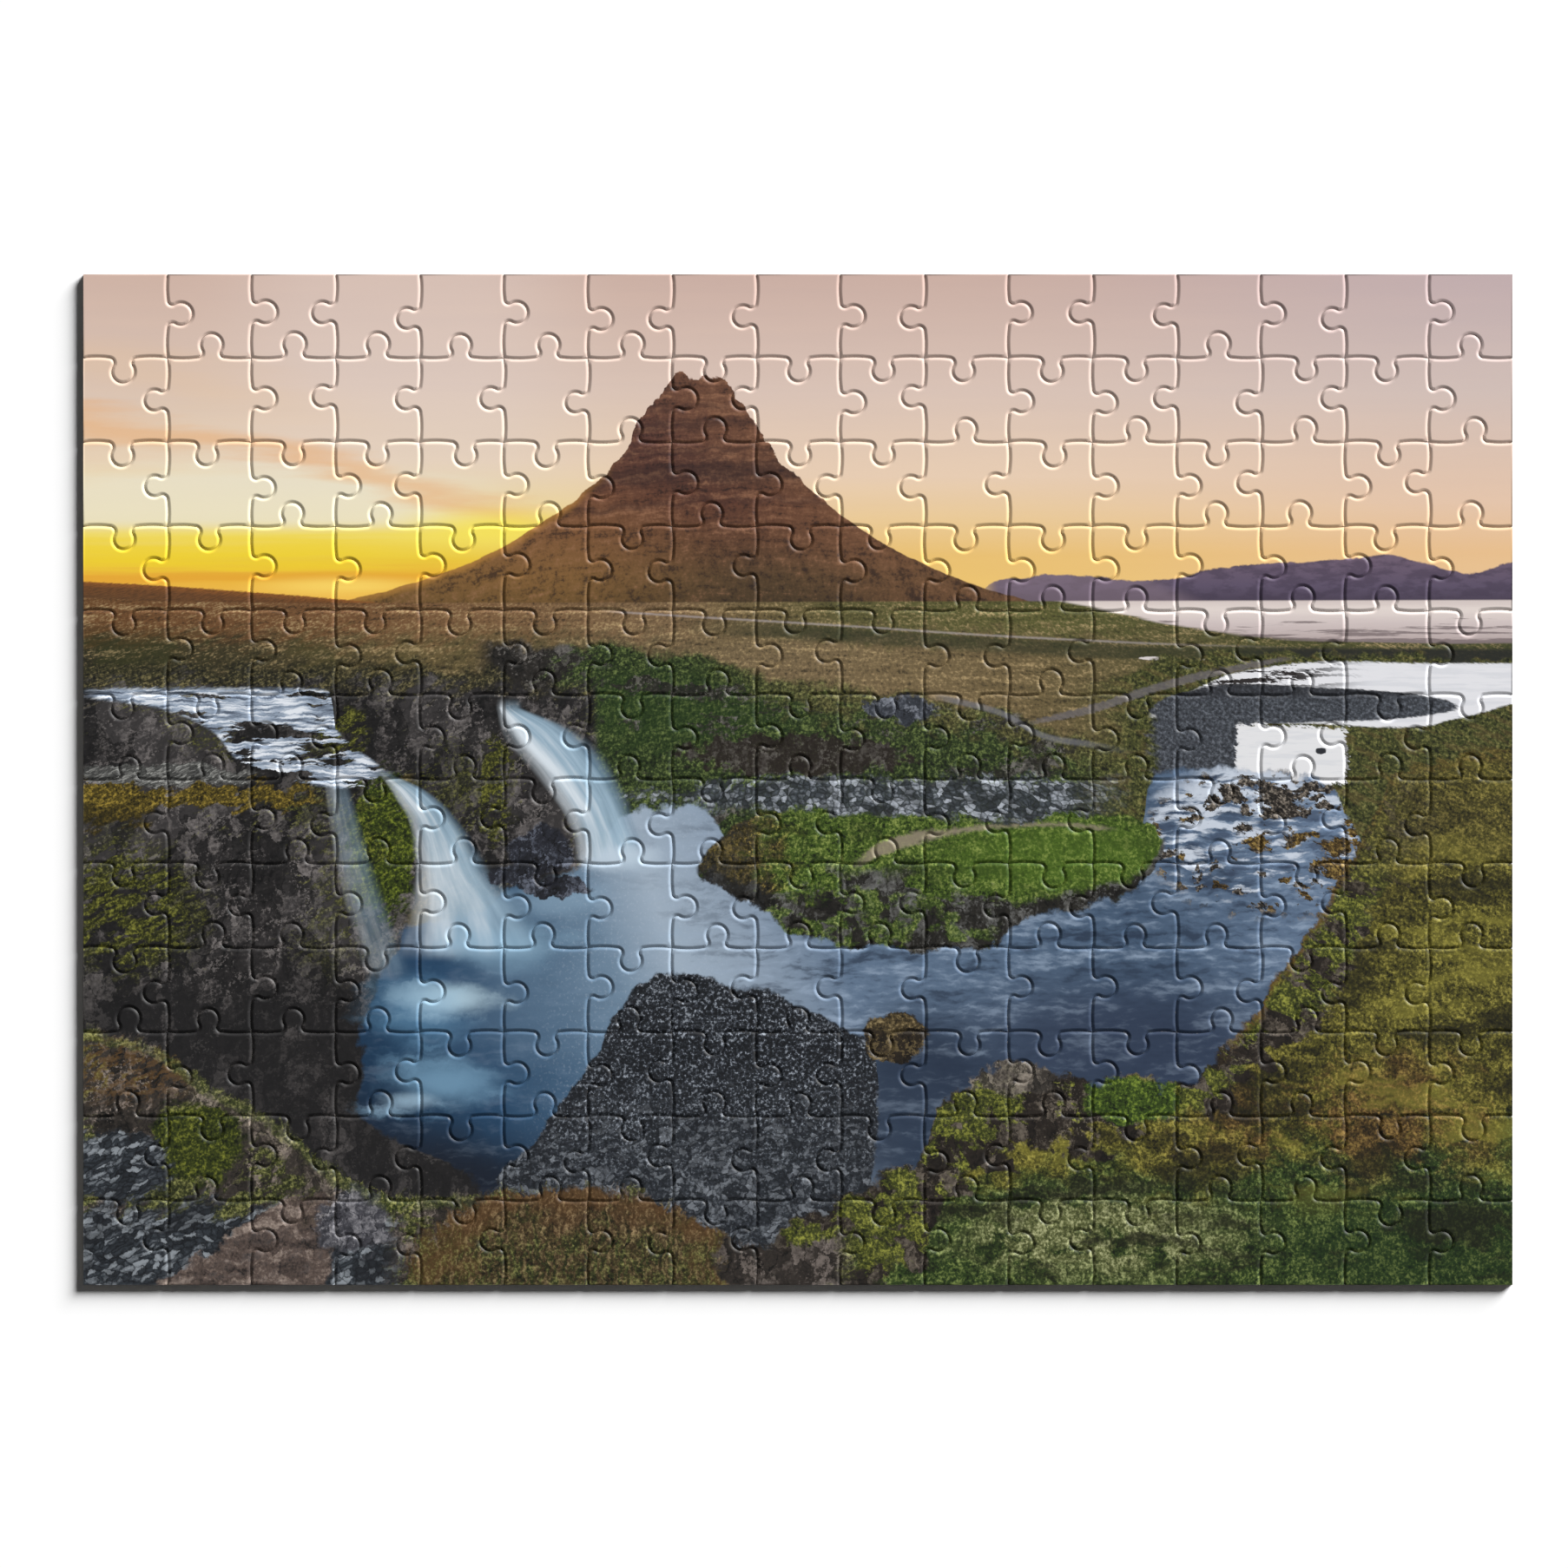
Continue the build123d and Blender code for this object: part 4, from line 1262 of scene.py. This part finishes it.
def roll_edge(piece):
    """Widens the rolled edge of every piece in a node and leaves its face flat inside it."""
    only(piece)
    mesh = piece.data
    bpy.ops.mesh.customdata_custom_splitnormals_clear()
    bpy.ops.object.mode_set(mode="EDIT")
    bpy.ops.mesh.select_mode(type="FACE")
    bpy.ops.mesh.select_all(action="SELECT")
    bpy.ops.mesh.remove_doubles(threshold=MERGE)
    bpy.ops.mesh.dissolve_limited(angle_limit=SAME_PLANE)
    bpy.ops.object.mode_set(mode="OBJECT")
    square_border(piece)
    choose(piece, "polygons", lambda face: face.normal.z > LEVEL and face.center.z > TOP - NEAR)
    uses = Counter(key for face in mesh.polygons if face.select for key in face.edge_keys)
    outline = {index for key, count in uses.items() if count == 1 for index in key}
    outline = {tuple(mesh.vertices[index].co)[:2] for index in outline}
    bpy.ops.object.mode_set(mode="EDIT")
    bpy.ops.mesh.inset(thickness=ROLL_WIDTH)
    bpy.ops.mesh.inset(thickness=FLAT_RING)
    bpy.ops.object.mode_set(mode="OBJECT")
    lower_rim(piece, outline)
    raise_lip(piece)
    bpy.ops.object.shade_smooth_by_angle(angle=SOFT_EDGE)


def cover(piece, printed):
    """Gives the face its print, the cut sides their greyboard and the underside its paper."""
    for material in (printed, greyboard, backing):
        piece.data.materials.append(material)
    for face in piece.data.polygons:
        level = face.normal.z
        face.material_index = BACK if level < BACK_LEVEL else SIDE if level < PRINT_LEVEL else PRINT


body_of = {
    node: body
    for body, nodes in frame["record"]["behaviour"]["bodies"].items()
    for node in nodes
}
for node_name, node in sorted(frame["nodes"].items()):
    mesh = node.data.copy()
    mesh.materials.clear()
    mesh.name = "printed_" + node_name
    piece = bpy.data.objects.new("printed_" + node_name, mesh)
    scene.collection.objects.link(piece)
    roll_edge(piece)
    cover(piece, prints[layers_on(node_name)])
    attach(piece, body_of[node_name])
    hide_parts(node_name)

# ---------------------------------------------------------------- floor, light and camera
TABLE_SIZE = 6
TABLE_LEVEL = -0.00002
bpy.ops.object.select_all(action="DESELECT")
bpy.ops.mesh.primitive_plane_add(size=TABLE_SIZE, location=(0, 0, TABLE_LEVEL))
floor = bpy.context.object
floor.name = "pale_table"
paper, hand, shader = new_material("pale_table", roughness=0.9, specular=0.0)
shader.inputs["Base Color"].default_value = (1.0, 1.0, 1.0, 1.0)
floor.data.materials.append(paper)

# The room gives little light of its own, but is pale where it shows behind the table.
FILL, BACKDROP = 0.05, 0.9
sky = bpy.data.worlds.new("soft_room")
sky.use_nodes = True
scene.world = sky
backdrop = sky.node_tree.nodes["Background"]
backdrop.inputs["Color"].default_value = (1, 1, 1, 1)
hand = Hand(sky.node_tree)
seen = Wire(hand, hand.node("LightPath").outputs["Is Camera Ray"])
hand.put(backdrop.inputs["Strength"], seen * (BACKDROP - FILL) + FILL)

# The softbox: its direction, its height over the table and its width, all as angles in degrees,
# and the light it gives a level face.
LIGHT_TURN, LIGHT_HEIGHT, LIGHT_WIDTH = 45, 20, 30
LIGHT_SHARE = 0.98
lamp = bpy.data.lights.new("softbox", "SUN")
lamp.energy = LIGHT_SHARE * math.pi / math.sin(math.radians(LIGHT_HEIGHT))
lamp.angle = math.radians(LIGHT_WIDTH)
softbox = bpy.data.objects.new("softbox", lamp)
softbox.rotation_euler = (0, math.radians(90 - LIGHT_HEIGHT), math.radians(LIGHT_TURN))
scene.collection.objects.link(softbox)

# The camera looks straight down: the width of table it sees, and the middle of that.
VIEW_WIDTH = 0.4608
VIEW_CENTRE = (-0.0041, -0.0013)
LENS, SENSOR = 200, 36
lens = bpy.data.cameras.new("overhead_camera")
lens.lens, lens.sensor_width = LENS, SENSOR
camera = bpy.data.objects.new("overhead_camera", lens)
camera.location = (*VIEW_CENTRE, TOP + VIEW_WIDTH * LENS / SENSOR)
scene.collection.objects.link(camera)
scene.camera = camera
